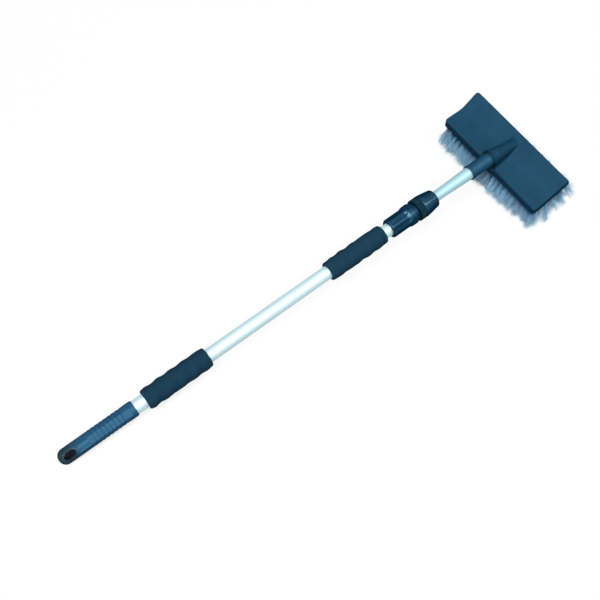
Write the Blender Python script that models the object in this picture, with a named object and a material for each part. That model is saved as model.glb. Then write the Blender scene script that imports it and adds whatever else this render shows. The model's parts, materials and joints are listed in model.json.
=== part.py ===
"""Telescopic car wash brush: a two-section aluminium pole with an end handle, two foam grips,
an outside twist lock, a screw-on neck and a two-level brush head with splayed bristles.

Metres, +Z up. The brush lies on a floor at z = 0, on its handle's end and on the tips of the
bristle row nearest the handle. +X runs from the handle to the head.

Pole frame: x along the pole from the handle's end, y to the side, z square to the pole.
Head frame: w across the head from its near long edge to its far one, y along it, n up.
"""
import math

import bmesh
import bpy
import numpy as np
from mathutils import Matrix, Vector

# Clearances
SEAT_GAP = 0.0003
CUT_OVERRUN = 0.004

# Counts of facets, tufts and grip features
ROUND_SIDES = 32
LOCK_SIDES = 40
ARC_STEPS = 3
SLEEVE_FLUTES = 8
NUT_RIBS = 20
HANDLE_RIBS = 8
TUFTS_IN_LONG_ROW = 16
ROWS_PER_WING = 3
HEAD_POCKETS = 6
SCREW_RIBS = (1, 5)
PIN_SIDES = 12

# Lengths along the pole, from the handle's end
HANDLE_LENGTH = 0.145
HANDLE_TO_FOAM = 0.0205
FOAM_LENGTH = 0.127
FOAM_TO_FOAM = 0.262
FOAM_TO_LOCK = 0.0155
SLEEVE_LENGTH = 0.060
SLEEVE_TO_NUT = 0.0035
NUT_LENGTH = 0.0465
NUT_TO_NECK = 0.088
NECK_LENGTH = 0.054

# Tubes
OUTER_TUBE_DIAMETER = 0.025
INNER_TUBE_DIAMETER = 0.0206
FLARE_DIAMETER = 0.0246
TUBE_WALL = 0.001
FLARE_LENGTH = 0.074
STROKE = 0.450
LEAST_OVERLAP = 0.090

# End handle
HANDLE_DIAMETER = 0.0282
HANDLE_ROLL = math.radians(27.0)
HANDLE_SOLID_LENGTH = 0.059
HANDLE_END_ROUND = 0.0130
HANDLE_MOUTH_CHAMFER = 0.0012
RIB_DEPTH = 0.0007
RIBS_START = 0.062
RIBS_TO_MOUTH = 0.0206
HANG_HOLE_CENTRE = 0.0200
HANG_HOLE_LENGTH = 0.021
HANG_HOLE_WIDTH = 0.0125
HANG_HOLE_FLARE = 0.0022
HANG_HOLE_FLARE_WIDTH = 0.0022
PAD_START = 0.0330
PAD_TO_MOUTH = 0.0065
PAD_WIDTH = 0.0160
PAD_EDGE = 0.0006
PANEL_START = 0.0348
PANEL_LENGTH = 0.0212
PANEL_WIDTH = 0.013
PANEL_DEPTH = 0.0008

# Foam grips
FOAM_DIAMETER = 0.036
FOAM_EDGE_ROUND = 0.003

# Lock sleeve, collet and nut
SLEEVE_DIAMETER = 0.0358
SLEEVE_FLARE_DIAMETER = 0.0396
SLEEVE_MOUTH_ROUND = 0.003
SLEEVE_BODY_LENGTH = 0.038
SLEEVE_FLARE_RUN = 0.006
SLEEVE_FLARE_LENGTH = 0.011
SLEEVE_SOCKET = 0.044
SLEEVE_NOSE_DIAMETER = 0.0364
FLUTE_DEPTH = 0.0013
SPIGOT_DIAMETER = 0.0292
SPIGOT_LENGTH = 0.016
COLLET_DIAMETER = 0.0258
COLLET_NOSE_DIAMETER = 0.0236
COLLET_LENGTH = 0.019
COLLET_SLIT = 0.0022
NUT_DIAMETER = 0.0424
NUT_BAND_LENGTH = 0.0115
NUT_BAND_GROOVE = 0.0009
NUT_RIB_DEPTH = 0.0007
NUT_FRONT_DIAMETER = 0.0346
NUT_FRONT_ROUND = 0.0034

# Guide inside the outer tube
PLUG_SPIGOT = 0.018
PLUG_FLANGE = 0.003
PLUG_NECK_DIAMETER = 0.0165
GUIDE_LENGTH = 0.010
GUIDE_SLIT = 0.0025

# Neck
NECK_DIAMETER = 0.0268
NECK_RIM_DIAMETER = 0.0288
NECK_RIM_LENGTH = 0.0045
NECK_SOCKET = 0.028
NECK_SCREW_DIAMETER = 0.0216
NECK_SCREW_LENGTH = 0.019
NECK_BORE_DIAMETER = 0.014
RIVET_PLACE = 0.016
RIVET_DIAMETER = 0.0032
RIVET_HEAD_DIAMETER = 0.0062
RIVET_HEAD_HEIGHT = 0.0011
RIVET_TAIL_DIAMETER = 0.0046
RIVET_TAIL_HEIGHT = 0.0009

# Head
HEAD_LENGTH = 0.257
HEAD_WIDTH = 0.084
HEAD_VALLEY = 0.011
HEAD_DEPTH = 0.020
HEAD_TOP_WALL = 0.003
HEAD_SKIRT_WALL = 0.003
HEAD_EDGE_ROUND = 0.0026
HEAD_END_HOLLOW = 0.0018
HEAD_VALLEY_ROUND = 0.014
HEAD_RIB_WALL = 0.006
HEAD_RIB_FOOT = 0.001
PLATE_LEDGE = 0.0018
HEAD_BELOW_POLE = 0.026
HEAD_BEHIND_NECK = 0.0075
HEAD_TILT = math.radians(20.6)
PLATE_DEPTH = 0.009
PLATE_THICKNESS = 0.004
STRIP_THICKNESS = 0.006
SCREW_DIAMETER = 0.0029
SCREW_HEAD_DIAMETER = 0.0056
SCREW_HEAD_HEIGHT = 0.0016
SCREW_DIMPLE = 0.0009
SCREW_SUNK = 0.0002
SCREW_TIP_DEPTH = 0.0045
BOSS_DIAMETER = 0.033
BOSS_COLLAR_LENGTH = 0.0055
BOSS_COLLAR_STEP = 0.0015
BOSS_NECK_DIAMETER = 0.0285
BOSS_END_WIDTH = 0.015
BOSS_FLAT_LENGTH = 0.020
BOSS_REACH = 0.080
BOSS_END_BELOW_POLE = 0.0024
BOSS_ROOT = 0.002
BOSS_ARCH_SHARE = 0.9
BOSS_DRAFT = 0.12

# Bristles
BRISTLE_LENGTH = 0.055
BRISTLE_ROOT_SIZE = 0.0018
BRISTLE_TIP_SIZE = 0.0011
TUFT_ROOT_SPREAD = 0.0032
TUFT_TIP_SPREAD = 0.0105
TIP_FLAT = 0.0005
NEAR_ROW_LEAN = math.radians(-23.0)
FAR_ROW_LEAN = math.radians(12.0)
END_TUFT_LEAN = math.radians(15.5)
SHORT_ROW_MARGIN_SHARE = 0.5

# Worked out from the sizes above
LOWER_FOAM_X = HANDLE_LENGTH + HANDLE_TO_FOAM
UPPER_FOAM_X = LOWER_FOAM_X + FOAM_LENGTH + FOAM_TO_FOAM
SLEEVE_X = UPPER_FOAM_X + FOAM_LENGTH + FOAM_TO_LOCK
NUT_X = SLEEVE_X + SLEEVE_LENGTH + SLEEVE_TO_NUT
NECK_X = NUT_X + NUT_LENGTH + NUT_TO_NECK
MOUTH_X = NECK_X + NECK_LENGTH
NEAR_EDGE_X = MOUTH_X + HEAD_BEHIND_NECK
INNER_TUBE_X = SLEEVE_X + SLEEVE_LENGTH - LEAST_OVERLAP - STROKE
OUTER_RADIUS = OUTER_TUBE_DIAMETER / 2
INNER_RADIUS = INNER_TUBE_DIAMETER / 2
FLARE_RADIUS = FLARE_DIAMETER / 2
THROAT_RADIUS = INNER_RADIUS + SEAT_GAP
WING_ANGLE = math.atan2(HEAD_VALLEY, HEAD_WIDTH / 2)
RIB_PITCH = (HANDLE_LENGTH - RIBS_TO_MOUTH - RIBS_START) / HANDLE_RIBS
STRIP_DEPTH = PLATE_DEPTH + PLATE_THICKNESS + SEAT_GAP
STRIP_FACE = STRIP_DEPTH + STRIP_THICKNESS


# Meshes

def clear_scene():
    """Remove whatever the file holds."""
    for item in list(bpy.data.objects):
        bpy.data.objects.remove(item, do_unlink=True)


def finish_mesh(bm, name, material, parent, smooth_angle=math.radians(32)):
    """Close the bmesh, point its faces outwards and make a smooth-shaded object of it."""
    bmesh.ops.recalc_face_normals(bm, faces=bm.faces)
    mesh = bpy.data.meshes.new(name)
    bm.to_mesh(mesh)
    bm.free()
    mesh.shade_smooth()
    mesh.set_sharp_from_angle(angle=smooth_angle)
    if material is not None:
        mesh.materials.append(material)
    item = bpy.data.objects.new(name, mesh)
    bpy.context.collection.objects.link(item)
    item.parent = parent
    return item


def hide_cutter(item):
    """Mark a shape that only cuts or joins another."""
    item.hide_render = True
    item.display_type = 'WIRE'
    return item


def combine(item, other, operation):
    """Cut another shape out of an object, or join it on."""
    modifier = item.modifiers.new(operation.lower() + "_" + other.name, 'BOOLEAN')
    modifier.operation = operation
    modifier.solver = 'EXACT'
    modifier.object = other
    hide_cutter(other)


def arc(centre_x, centre_r, radius, start, stop, steps=ARC_STEPS):
    """Points of an arc in the half plane of a turned profile; angles in degrees from +x."""
    angles = [math.radians(start + (stop - start) * k / steps) for k in range(steps + 1)]
    return [(centre_x + radius * math.cos(a), centre_r + radius * math.sin(a)) for a in angles]


def turned(name, outline, material, parent, sides=ROUND_SIDES, wave=None, bore=0.0, slit=0.0):
    """Turn a closed outline of (x, radius) points about the pole's axis.

    Points on the axis become one vertex. wave(x, angle) lowers the radius outside the bore,
    for flutes and ribs. A slit leaves the ring open by that width at its inner side, on top.
    """
    bm = bmesh.new()
    least = min(r for x, r in outline)
    gap = slit / least if slit else 0.0
    turn = 2 * math.pi - gap
    count = sides + 1 if slit else sides
    rings = []
    for k in range(count):
        angle = math.pi / 2 + gap / 2 + turn * k / sides
        ring = []
        for x, r in outline:
            if r == 0 and rings:
                ring.append(rings[0][len(ring)])
                continue
            low = wave(x, angle) if wave and r > bore else 0.0
            place = Vector((x, (r - low) * math.cos(angle), (r - low) * math.sin(angle)))
            ring.append(bm.verts.new(place))
        rings.append(ring)
    points = len(outline)
    for k in range(count - 1 if slit else count):
        here, after = rings[k], rings[(k + 1) % count]
        for i in range(points):
            j = (i + 1) % points
            corners = []
            for vertex in (here[i], here[j], after[j], after[i]):
                if vertex not in corners:
                    corners.append(vertex)
            if len(corners) > 2:
                bm.faces.new(corners)
    if slit:
        bm.faces.new(rings[0])
        bm.faces.new(rings[-1])
    return finish_mesh(bm, name, material, parent)


def tube_outline(x0, x1, outer, inner):
    """A plain tube's closed outline."""
    return [(x0, outer), (x1, outer), (x1, inner), (x0, inner)]


# The floor and the two frames

def head_point(w, n):
    """Pole-frame x and z of a point of the head's cross-section."""
    x = NEAR_EDGE_X + w * math.cos(HEAD_TILT) - n * math.sin(HEAD_TILT)
    z = -HEAD_BELOW_POLE + w * math.sin(HEAD_TILT) + n * math.cos(HEAD_TILT)
    return x, z


def wing_point(u, depth, far=False):
    """Head-frame w and n of a point u along a wing from its edge and depth below its top."""
    w = u * math.cos(WING_ANGLE) - depth * math.sin(WING_ANGLE)
    n = -u * math.sin(WING_ANGLE) - depth * math.cos(WING_ANGLE)
    return (HEAD_WIDTH - w if far else w), n


def wing_length(depth):
    """Length of a wing from its edge to the head's middle, at a depth below its top."""
    return (HEAD_WIDTH / 2 + depth * math.sin(WING_ANGLE)) / math.cos(WING_ANGLE)


def row_lean(row):
    """Lean of a bristle row across the head, from the near row's to the far row's."""
    share = row / (2 * ROWS_PER_WING - 1)
    return NEAR_ROW_LEAN + (FAR_ROW_LEAN - NEAR_ROW_LEAN) * share


def strip_span(row):
    """The stretch u0 to u1 of its wing that a row's backing strip covers."""
    free = wing_length(STRIP_DEPTH) - HEAD_SKIRT_WALL - 2 * SEAT_GAP
    width = free / ROWS_PER_WING
    place = row if row < ROWS_PER_WING else 2 * ROWS_PER_WING - 1 - row
    start = HEAD_SKIRT_WALL + SEAT_GAP + place * width
    return start, start + width - SEAT_GAP


def strand_corners(row, side):
    """Head-frame (w, n) of the two edges of a strand's tip, on one side of its tuft."""
    u0, u1 = strip_span(row)
    far = row >= ROWS_PER_WING
    root = Vector(wing_point((u0 + u1) / 2, STRIP_FACE, far))
    lean = row_lean(row)
    along = Vector((math.sin(lean), -math.cos(lean)))
    across = Vector((math.cos(lean), math.sin(lean)))
    middle = root + along * BRISTLE_LENGTH + across * (side * TUFT_TIP_SPREAD / 2)
    return [middle + across * (e * BRISTLE_TIP_SIZE / 2) for e in (-1, 1)]


def lie_of_pole():
    """Angle of the pole to the floor, and the floor's height in the pole frame's terms.

    The floor touches the handle where its round end begins, and the lowest bristle tips,
    which it cuts flat by TIP_FLAT.
    """
    tips = [head_point(*c) for row in range(ROWS_PER_WING) for s in (-1, 1)
            for c in strand_corners(row, s)]
    end_x, end_z = HANDLE_END_ROUND, -HANDLE_DIAMETER / 2
    lie = 0.0
    for _ in range(ARC_STEPS):
        low = min(tips, key=lambda t: t[0] * math.sin(lie) + t[1] * math.cos(lie))
        dx, dz = low[0] - end_x, low[1] - end_z
        lie = -math.asin(TIP_FLAT / math.hypot(dx, dz)) - math.atan2(dz, dx)
    return lie, end_x * math.sin(lie) + end_z * math.cos(lie)


LIE, FLOOR_LEVEL = lie_of_pole()


def height_over_floor(w, n):
    """Height of a head-frame point over the floor."""
    x, z = head_point(w, n)
    return x * math.sin(LIE) + z * math.cos(LIE) - FLOOR_LEVEL


# Materials

def finish(name, colour, roughness, metallic=0.0):
    """A Principled material of one colour."""
    material = bpy.data.materials.new(name)
    material.use_nodes = True
    shader = material.node_tree.nodes["Principled BSDF"]
    shader.inputs["Base Color"].default_value = (*colour, 1.0)
    shader.inputs["Roughness"].default_value = roughness
    shader.inputs["Metallic"].default_value = metallic
    material.diffuse_color = (*colour, 1.0)
    return material


# Pieces of the outer section

def handle_wave(x, angle):
    """Round finger ribs: the radius dips between them."""
    place = (x - RIBS_START) / RIB_PITCH
    if place < 0 or place > HANDLE_RIBS:
        return 0.0
    return RIB_DEPTH * (1 - math.cos(2 * math.pi * place)) / 2


def hang_hole_cutter(parent):
    """A slot through the handle's end, flaring towards the upper face."""
    bm = bmesh.new()
    half = (HANG_HOLE_LENGTH - HANG_HOLE_WIDTH) / 2
    reach = HANDLE_DIAMETER / 2 + CUT_OVERRUN
    flat = HANDLE_DIAMETER / 2 - HANG_HOLE_FLARE
    wide = HANG_HOLE_FLARE_WIDTH * (1 + CUT_OVERRUN / HANG_HOLE_FLARE)
    sections = ((-reach, 0.0), (flat, 0.0), (reach, wide))
    loops = []
    for z, extra in sections:
        radius = HANG_HOLE_WIDTH / 2 + extra
        loop = []
        for k in range(2 * PIN_SIDES):
            angle = 2 * math.pi * (k + 0.5) / (2 * PIN_SIDES)
            side = half if math.cos(angle) > 0 else -half
            x = HANG_HOLE_CENTRE + side + radius * math.cos(angle)
            loop.append(bm.verts.new((x, radius * math.sin(angle), z)))
        loops.append(loop)
    count = len(loops[0])
    for low, high in zip(loops, loops[1:]):
        for k in range(count):
            bm.faces.new((low[k], low[(k + 1) % count], high[(k + 1) % count], high[k]))
    bm.faces.new(loops[0])
    bm.faces.new(loops[-1])
    return finish_mesh(bm, "hang_hole_cutter", None, parent)


def thumb_pad(ribs, parent):
    """A raised strip with a flat top along the handle, ribbed across like the rest of it."""
    bm = bmesh.new()
    half = PAD_WIDTH / 2
    stop = HANDLE_LENGTH - PAD_TO_MOUTH
    low = math.sqrt((HANDLE_DIAMETER / 2) ** 2 - half ** 2) - CUT_OVERRUN / 2
    stations = [(PAD_START, PAD_EDGE), (PAD_START + PAD_EDGE, 0.0)]
    stations += [(x, handle_wave(x, 0.0)) for x in ribs]
    stations += [(stop - PAD_EDGE, 0.0), (stop, PAD_EDGE)]
    rings = []
    for x, drop in stations:
        top = HANDLE_DIAMETER / 2 - drop
        ring = [(-half, low), (-half, top - PAD_EDGE), (PAD_EDGE - half, top),
                (half - PAD_EDGE, top), (half, top - PAD_EDGE), (half, low)]
        rings.append([bm.verts.new((x, y, z)) for y, z in ring])
    count = len(rings[0])
    for here, after in zip(rings, rings[1:]):
        for k in range(count):
            bm.faces.new((here[k], here[(k + 1) % count], after[(k + 1) % count], after[k]))
    bm.faces.new(rings[0])
    bm.faces.new(rings[-1])
    return finish_mesh(bm, "thumb_pad_form", None, parent)


def rolled(item):
    """Turn a shape of the handle about the pole by the handle's roll."""
    item.data.transform(Matrix.Rotation(HANDLE_ROLL, 4, 'X'))
    return item


def box_cutter(name, low, high, parent, rounding=0.0):
    """A box between two corners, with its upright edges rounded."""
    bm = bmesh.new()
    bmesh.ops.create_cube(bm, size=1.0)
    size = Vector(high) - Vector(low)
    middle = (Vector(high) + Vector(low)) / 2
    bmesh.ops.transform(bm, matrix=Matrix.Translation(middle) @ Matrix.Diagonal((*size, 1.0)),
                        verts=bm.verts)
    if rounding:
        upright = [e for e in bm.edges
                   if abs(e.verts[0].co.z - e.verts[1].co.z) > size.z / 2]
        bmesh.ops.bevel(bm, geom=upright, offset=rounding, segments=ARC_STEPS, affect='EDGES')
    return finish_mesh(bm, name, None, parent)


def make_end_handle(parent, material):
    """Ribbed grip with a rounded end, a hang hole, a thumb pad and a blind tube socket."""
    radius = HANDLE_DIAMETER / 2
    bore = OUTER_RADIUS + SEAT_GAP
    steps = 4 * HANDLE_RIBS
    ribs = [RIBS_START + RIB_PITCH * k / 4 for k in range(steps + 1)]
    outline = [(0.0, 0.0), (0.0, radius - HANDLE_END_ROUND)]
    outline += arc(HANDLE_END_ROUND, radius - HANDLE_END_ROUND, HANDLE_END_ROUND,
                   180, 90, 2 * ARC_STEPS)[1:]
    outline += [(x, radius) for x in ribs]
    outline += [(HANDLE_LENGTH - HANDLE_MOUTH_CHAMFER, radius),
                (HANDLE_LENGTH, radius - HANDLE_MOUTH_CHAMFER / 2), (HANDLE_LENGTH, 0.0)]
    item = turned("end_handle", outline, material, parent, wave=handle_wave)
    combine(item, rolled(thumb_pad(ribs, parent)), 'UNION')
    socket = [(HANDLE_SOLID_LENGTH, 0.0), (HANDLE_SOLID_LENGTH, bore),
              (HANDLE_LENGTH + CUT_OVERRUN, bore), (HANDLE_LENGTH + CUT_OVERRUN, 0.0)]
    combine(item, turned("handle_socket_cutter", socket, None, parent), 'DIFFERENCE')
    combine(item, rolled(hang_hole_cutter(parent)), 'DIFFERENCE')
    panel = box_cutter("thumb_panel_cutter",
                       (PANEL_START, -PANEL_WIDTH / 2, radius - PANEL_DEPTH),
                       (PANEL_START + PANEL_LENGTH, PANEL_WIDTH / 2, radius + CUT_OVERRUN),
                       parent, PANEL_WIDTH / 4)
    combine(item, rolled(panel), 'DIFFERENCE')
    return item


def make_outer_tube(parent, material):
    """Outer aluminium tube, from the handle's socket to the lock sleeve's shoulder."""
    start = HANDLE_SOLID_LENGTH + SEAT_GAP
    stop = SLEEVE_X + SLEEVE_SOCKET - SEAT_GAP
    outline = tube_outline(start, stop, OUTER_RADIUS, OUTER_RADIUS - TUBE_WALL)
    return turned("outer_tube", outline, material, parent)


def make_foam_grip(name, x0, parent, material):
    """Foam sleeve with rounded ends, close round the outer tube."""
    radius = FOAM_DIAMETER / 2
    bore = OUTER_RADIUS + SEAT_GAP
    x1 = x0 + FOAM_LENGTH
    low = radius - FOAM_EDGE_ROUND
    outline = arc(x0 + FOAM_EDGE_ROUND, low, FOAM_EDGE_ROUND, 180, 90)
    outline += arc(x1 - FOAM_EDGE_ROUND, low, FOAM_EDGE_ROUND, 90, 0)
    outline += [(x1, bore), (x0, bore)]
    return turned(name, outline, material, parent)


def sleeve_wave(x, angle):
    """Lengthwise flutes of the lock sleeve, running out in its flare."""
    run_out = SLEEVE_X + SLEEVE_BODY_LENGTH + SLEEVE_FLARE_RUN
    if x > run_out:
        return 0.0
    fade = min(1.0, (run_out - x) / (2 * SLEEVE_FLARE_RUN))
    return FLUTE_DEPTH * fade * (1 - abs(math.cos(SLEEVE_FLUTES * angle / 2)))


def make_lock_sleeve(parent, material):
    """Fluted base of the twist lock, with the screw spigot that the nut turns on."""
    radius = SLEEVE_DIAMETER / 2
    flare = SLEEVE_FLARE_DIAMETER / 2
    nose = SLEEVE_NOSE_DIAMETER / 2
    spigot = SPIGOT_DIAMETER / 2
    body_end = SLEEVE_X + SLEEVE_BODY_LENGTH
    flare_start = body_end + SLEEVE_FLARE_RUN
    flare_end = flare_start + SLEEVE_FLARE_LENGTH
    face = SLEEVE_X + SLEEVE_LENGTH
    front = face + SPIGOT_LENGTH
    shoulder = SLEEVE_X + SLEEVE_SOCKET
    fade_start = flare_start - 2 * SLEEVE_FLARE_RUN
    outline = arc(SLEEVE_X + SLEEVE_MOUTH_ROUND, radius - SLEEVE_MOUTH_ROUND,
                  SLEEVE_MOUTH_ROUND, 180, 90)
    outline += [(fade_start, radius), (body_end, radius), (flare_start, flare),
                (flare_end, flare), (face, nose), (face, spigot), (front, spigot),
                (front, THROAT_RADIUS), (shoulder, THROAT_RADIUS),
                (shoulder, OUTER_RADIUS + SEAT_GAP), (SLEEVE_X, OUTER_RADIUS + SEAT_GAP)]
    return turned("lock_sleeve", outline, material, parent, LOCK_SIDES, sleeve_wave, spigot)


def cone_radius(x, clearance):
    """Radius of the collet's tapered outside at x, widened by a clearance."""
    start = SLEEVE_X + SLEEVE_LENGTH + SPIGOT_LENGTH + SEAT_GAP
    share = (x - start) / COLLET_LENGTH
    slope = (COLLET_NOSE_DIAMETER - COLLET_DIAMETER) / 2
    return COLLET_DIAMETER / 2 + slope * share + clearance


def make_lock_collet(parent, material):
    """Split tapered ring that the nut squeezes onto the inner tube."""
    start = SLEEVE_X + SLEEVE_LENGTH + SPIGOT_LENGTH + SEAT_GAP
    stop = start + COLLET_LENGTH
    outline = [(start, cone_radius(start, 0.0)), (stop, cone_radius(stop, 0.0)),
               (stop, THROAT_RADIUS), (start, THROAT_RADIUS)]
    return turned("lock_collet", outline, material, parent, LOCK_SIDES, slit=COLLET_SLIT)


def nut_wave(x, angle):
    """Short grip ribs round the nut's rear band."""
    if x > NUT_X + NUT_BAND_LENGTH or x <= NUT_X:
        return 0.0
    return NUT_RIB_DEPTH * (1 - math.cos(NUT_RIBS * angle)) / 2


def barrel_radius(share):
    """Radius of the nut's barrel: full at the band, easing down to the front."""
    back, front = NUT_DIAMETER / 2, NUT_FRONT_DIAMETER / 2
    return back - (back - front) * share ** 2 * (3 - share) / 2


def make_lock_nut(parent, material):
    """Domed lock nut with a ribbed rear band, a screw bore and the collet's cone inside."""
    back = NUT_DIAMETER / 2
    band = NUT_X + NUT_BAND_LENGTH
    front = NUT_X + NUT_LENGTH
    barrel_start = band + 2 * NUT_BAND_GROOVE
    barrel_end = front - NUT_FRONT_ROUND
    thread = SPIGOT_DIAMETER / 2 + SEAT_GAP
    step = SLEEVE_X + SLEEVE_LENGTH + SPIGOT_LENGTH + SEAT_GAP
    cone_end = step + COLLET_LENGTH + SEAT_GAP
    edge = 2 * SEAT_GAP
    outline = [(NUT_X, back - NUT_RIB_DEPTH - edge), (NUT_X + edge, back), (band, back),
               (band + NUT_BAND_GROOVE, back - NUT_BAND_GROOVE)]
    steps = 2 * ARC_STEPS
    for k in range(steps):
        share = k / steps
        outline.append((barrel_start + (barrel_end - barrel_start) * share,
                        barrel_radius(share)))
    outline += arc(barrel_end, barrel_radius(1.0) - NUT_FRONT_ROUND, NUT_FRONT_ROUND, 90, 0)
    outline += [(front, THROAT_RADIUS), (cone_end, THROAT_RADIUS),
                (cone_end, cone_radius(cone_end, SEAT_GAP)), (step, cone_radius(step, SEAT_GAP)),
                (step, thread), (NUT_X, thread)]
    return turned("lock_nut", outline, material, parent, LOCK_SIDES, nut_wave, thread)


# Pieces of the inner section

def make_inner_tube(parent, material):
    """Inner aluminium tube, flared towards the head where the neck holds it."""
    stop = NECK_X + NECK_SOCKET - SEAT_GAP
    flare_start = NECK_X - FLARE_LENGTH
    outline = [(INNER_TUBE_X, INNER_RADIUS), (flare_start, INNER_RADIUS),
               (NECK_X, FLARE_RADIUS), (stop, FLARE_RADIUS),
               (stop, FLARE_RADIUS - TUBE_WALL), (NECK_X, FLARE_RADIUS - TUBE_WALL),
               (flare_start, INNER_RADIUS - TUBE_WALL),
               (INNER_TUBE_X, INNER_RADIUS - TUBE_WALL)]
    item = turned("inner_tube", outline, material, parent)
    combine(item, rivet_hole_cutter("tube_rivet_hole", parent), 'DIFFERENCE')
    return item


def make_tube_plug(parent, material):
    """End plug of the inner tube, with the groove that carries the guide ring."""
    spigot = INNER_RADIUS - TUBE_WALL - SEAT_GAP
    groove = GUIDE_LENGTH + 2 * SEAT_GAP
    neck = PLUG_NECK_DIAMETER / 2
    seat = INNER_TUBE_X - SEAT_GAP
    front_flange = seat - PLUG_FLANGE
    groove_start = front_flange - groove
    rear = groove_start - PLUG_FLANGE
    outline = [(rear, 0.0), (rear, INNER_RADIUS), (groove_start, INNER_RADIUS),
               (groove_start, neck), (front_flange, neck), (front_flange, INNER_RADIUS),
               (seat, INNER_RADIUS), (seat, spigot),
               (INNER_TUBE_X + PLUG_SPIGOT, spigot), (INNER_TUBE_X + PLUG_SPIGOT, 0.0)]
    return turned("tube_plug", outline, material, parent)


def make_guide_ring(parent, material):
    """Split plastic ring on the plug that runs inside the outer tube."""
    stop = INNER_TUBE_X - SEAT_GAP - PLUG_FLANGE - SEAT_GAP
    start = stop - GUIDE_LENGTH
    outline = tube_outline(start, stop, OUTER_RADIUS - TUBE_WALL - SEAT_GAP,
                           PLUG_NECK_DIAMETER / 2 + SEAT_GAP)
    return turned("guide_ring", outline, material, parent, slit=GUIDE_SLIT)


def make_neck(parent, material):
    """Neck sleeve with a rim, a socket for the tube and the screw that enters the head."""
    radius = NECK_DIAMETER / 2
    rim = NECK_RIM_DIAMETER / 2
    screw = NECK_SCREW_DIAMETER / 2
    bore = NECK_BORE_DIAMETER / 2
    socket = FLARE_RADIUS + SEAT_GAP
    face = MOUTH_X - SEAT_GAP
    tip = MOUTH_X + NECK_SCREW_LENGTH
    half_rim = NECK_RIM_LENGTH / 2
    outline = [(NECK_X, radius), (NECK_X + (rim - radius), rim),
               (NECK_X + half_rim, rim), (NECK_X + NECK_RIM_LENGTH, radius),
               (face, radius), (face, screw), (tip - (rim - radius), screw),
               (tip, screw - (rim - radius)), (tip, bore), (NECK_X + NECK_SOCKET, bore),
               (NECK_X + NECK_SOCKET, socket), (NECK_X, socket)]
    item = turned("neck_sleeve", outline, material, parent)
    combine(item, rivet_hole_cutter("neck_rivet_hole", parent), 'DIFFERENCE')
    return item


def upright_turned(name, outline, x, material, parent):
    """Turn an outline of (height, radius) points about an upright axis at x."""
    item = turned(name, outline, material, parent, sides=PIN_SIDES)
    item.data.transform(Matrix.Translation((x, 0.0, 0.0)) @ Matrix.Rotation(-math.pi / 2, 4, 'Y'))
    return item


def rivet_hole_cutter(name, parent):
    """Pin-shaped cutter through the underside of the neck and the tube."""
    outline = [(-NECK_RIM_DIAMETER, 0.0), (-NECK_RIM_DIAMETER, RIVET_DIAMETER / 2 + SEAT_GAP),
               (-FLARE_RADIUS / 2, RIVET_DIAMETER / 2 + SEAT_GAP), (-FLARE_RADIUS / 2, 0.0)]
    return upright_turned(name, outline, NECK_X + RIVET_PLACE, None, parent)


def make_neck_rivet(parent, material):
    """Blind rivet that holds the tube in the neck, on the underside."""
    head = RIVET_HEAD_DIAMETER / 2
    pin = RIVET_DIAMETER / 2
    tail = RIVET_TAIL_DIAMETER / 2
    seat = -NECK_DIAMETER / 2 - SEAT_GAP
    inside = -math.sqrt((FLARE_RADIUS - TUBE_WALL) ** 2 - tail ** 2) + SEAT_GAP
    outline = [(seat - RIVET_HEAD_HEIGHT, 0.0), (seat - RIVET_HEAD_HEIGHT, head / 2),
               (seat - RIVET_HEAD_HEIGHT / 2, head), (seat, head), (seat, pin), (inside, pin),
               (inside, tail), (inside + RIVET_TAIL_HEIGHT, tail),
               (inside + RIVET_TAIL_HEIGHT, 0.0)]
    return upright_turned("neck_rivet", outline, NECK_X + RIVET_PLACE, material, parent)


# Pieces of the head

def end_y(w, inset):
    """Half length of the head at w: its ends are drawn in towards the middle."""
    share = 1 - abs(2 * w / HEAD_WIDTH - 1)
    return HEAD_LENGTH / 2 - HEAD_END_HOLLOW * share - inset


def valley_arc(depth):
    """Points of the rounded valley between the wings, at a depth below the top."""
    radius = HEAD_VALLEY_ROUND + depth
    tangent_u = wing_length(depth) - radius * math.tan(WING_ANGLE)
    w0, n0 = wing_point(tangent_u, depth)
    centre_n = n0 + radius * math.cos(WING_ANGLE)
    angles = [WING_ANGLE * (k / ARC_STEPS - 1) for k in range(2 * ARC_STEPS + 1)]
    return [(HEAD_WIDTH / 2 + radius * math.sin(a), centre_n - radius * math.cos(a))
            for a in angles]


def head_block(name, top, bottom, inset, parent, material=None, y0=None, y1=None, round_top=False):
    """A two-winged slab between two depths, drawn in from the head's outline by inset."""
    bm = bmesh.new()
    upper = [wing_point(inset, top)]
    upper += valley_arc(top) if round_top else [wing_point(wing_length(top), top)]
    upper += [wing_point(inset, top, far=True)]
    lower = [wing_point(inset, bottom), wing_point(wing_length(bottom), bottom),
             wing_point(inset, bottom, far=True)]
    middle = len(upper) // 2
    ends = []
    for sign in (-1, 1):
        limit = y0 if sign < 0 else y1
        rows = []
        for line in (upper, lower):
            rows.append([bm.verts.new((w, sign * end_y(w, inset) if limit is None else limit, n))
                         for w, n in line])
        ends.append(rows)
        up, down = rows
        bm.faces.new(up[:middle + 1] + [down[1], down[0]])
        bm.faces.new(up[middle:] + [down[2], down[1]])
    (up_a, down_a), (up_b, down_b) = ends
    for line_a, line_b in ((up_a, up_b), (down_a, down_b)):
        for k in range(len(line_a) - 1):
            bm.faces.new((line_a[k], line_a[k + 1], line_b[k + 1], line_b[k]))
    bm.faces.new((up_a[0], up_b[0], down_b[0], down_a[0]))
    bm.faces.new((up_a[-1], up_b[-1], down_b[2], down_a[2]))
    return finish_mesh(bm, name, material, parent)


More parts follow.
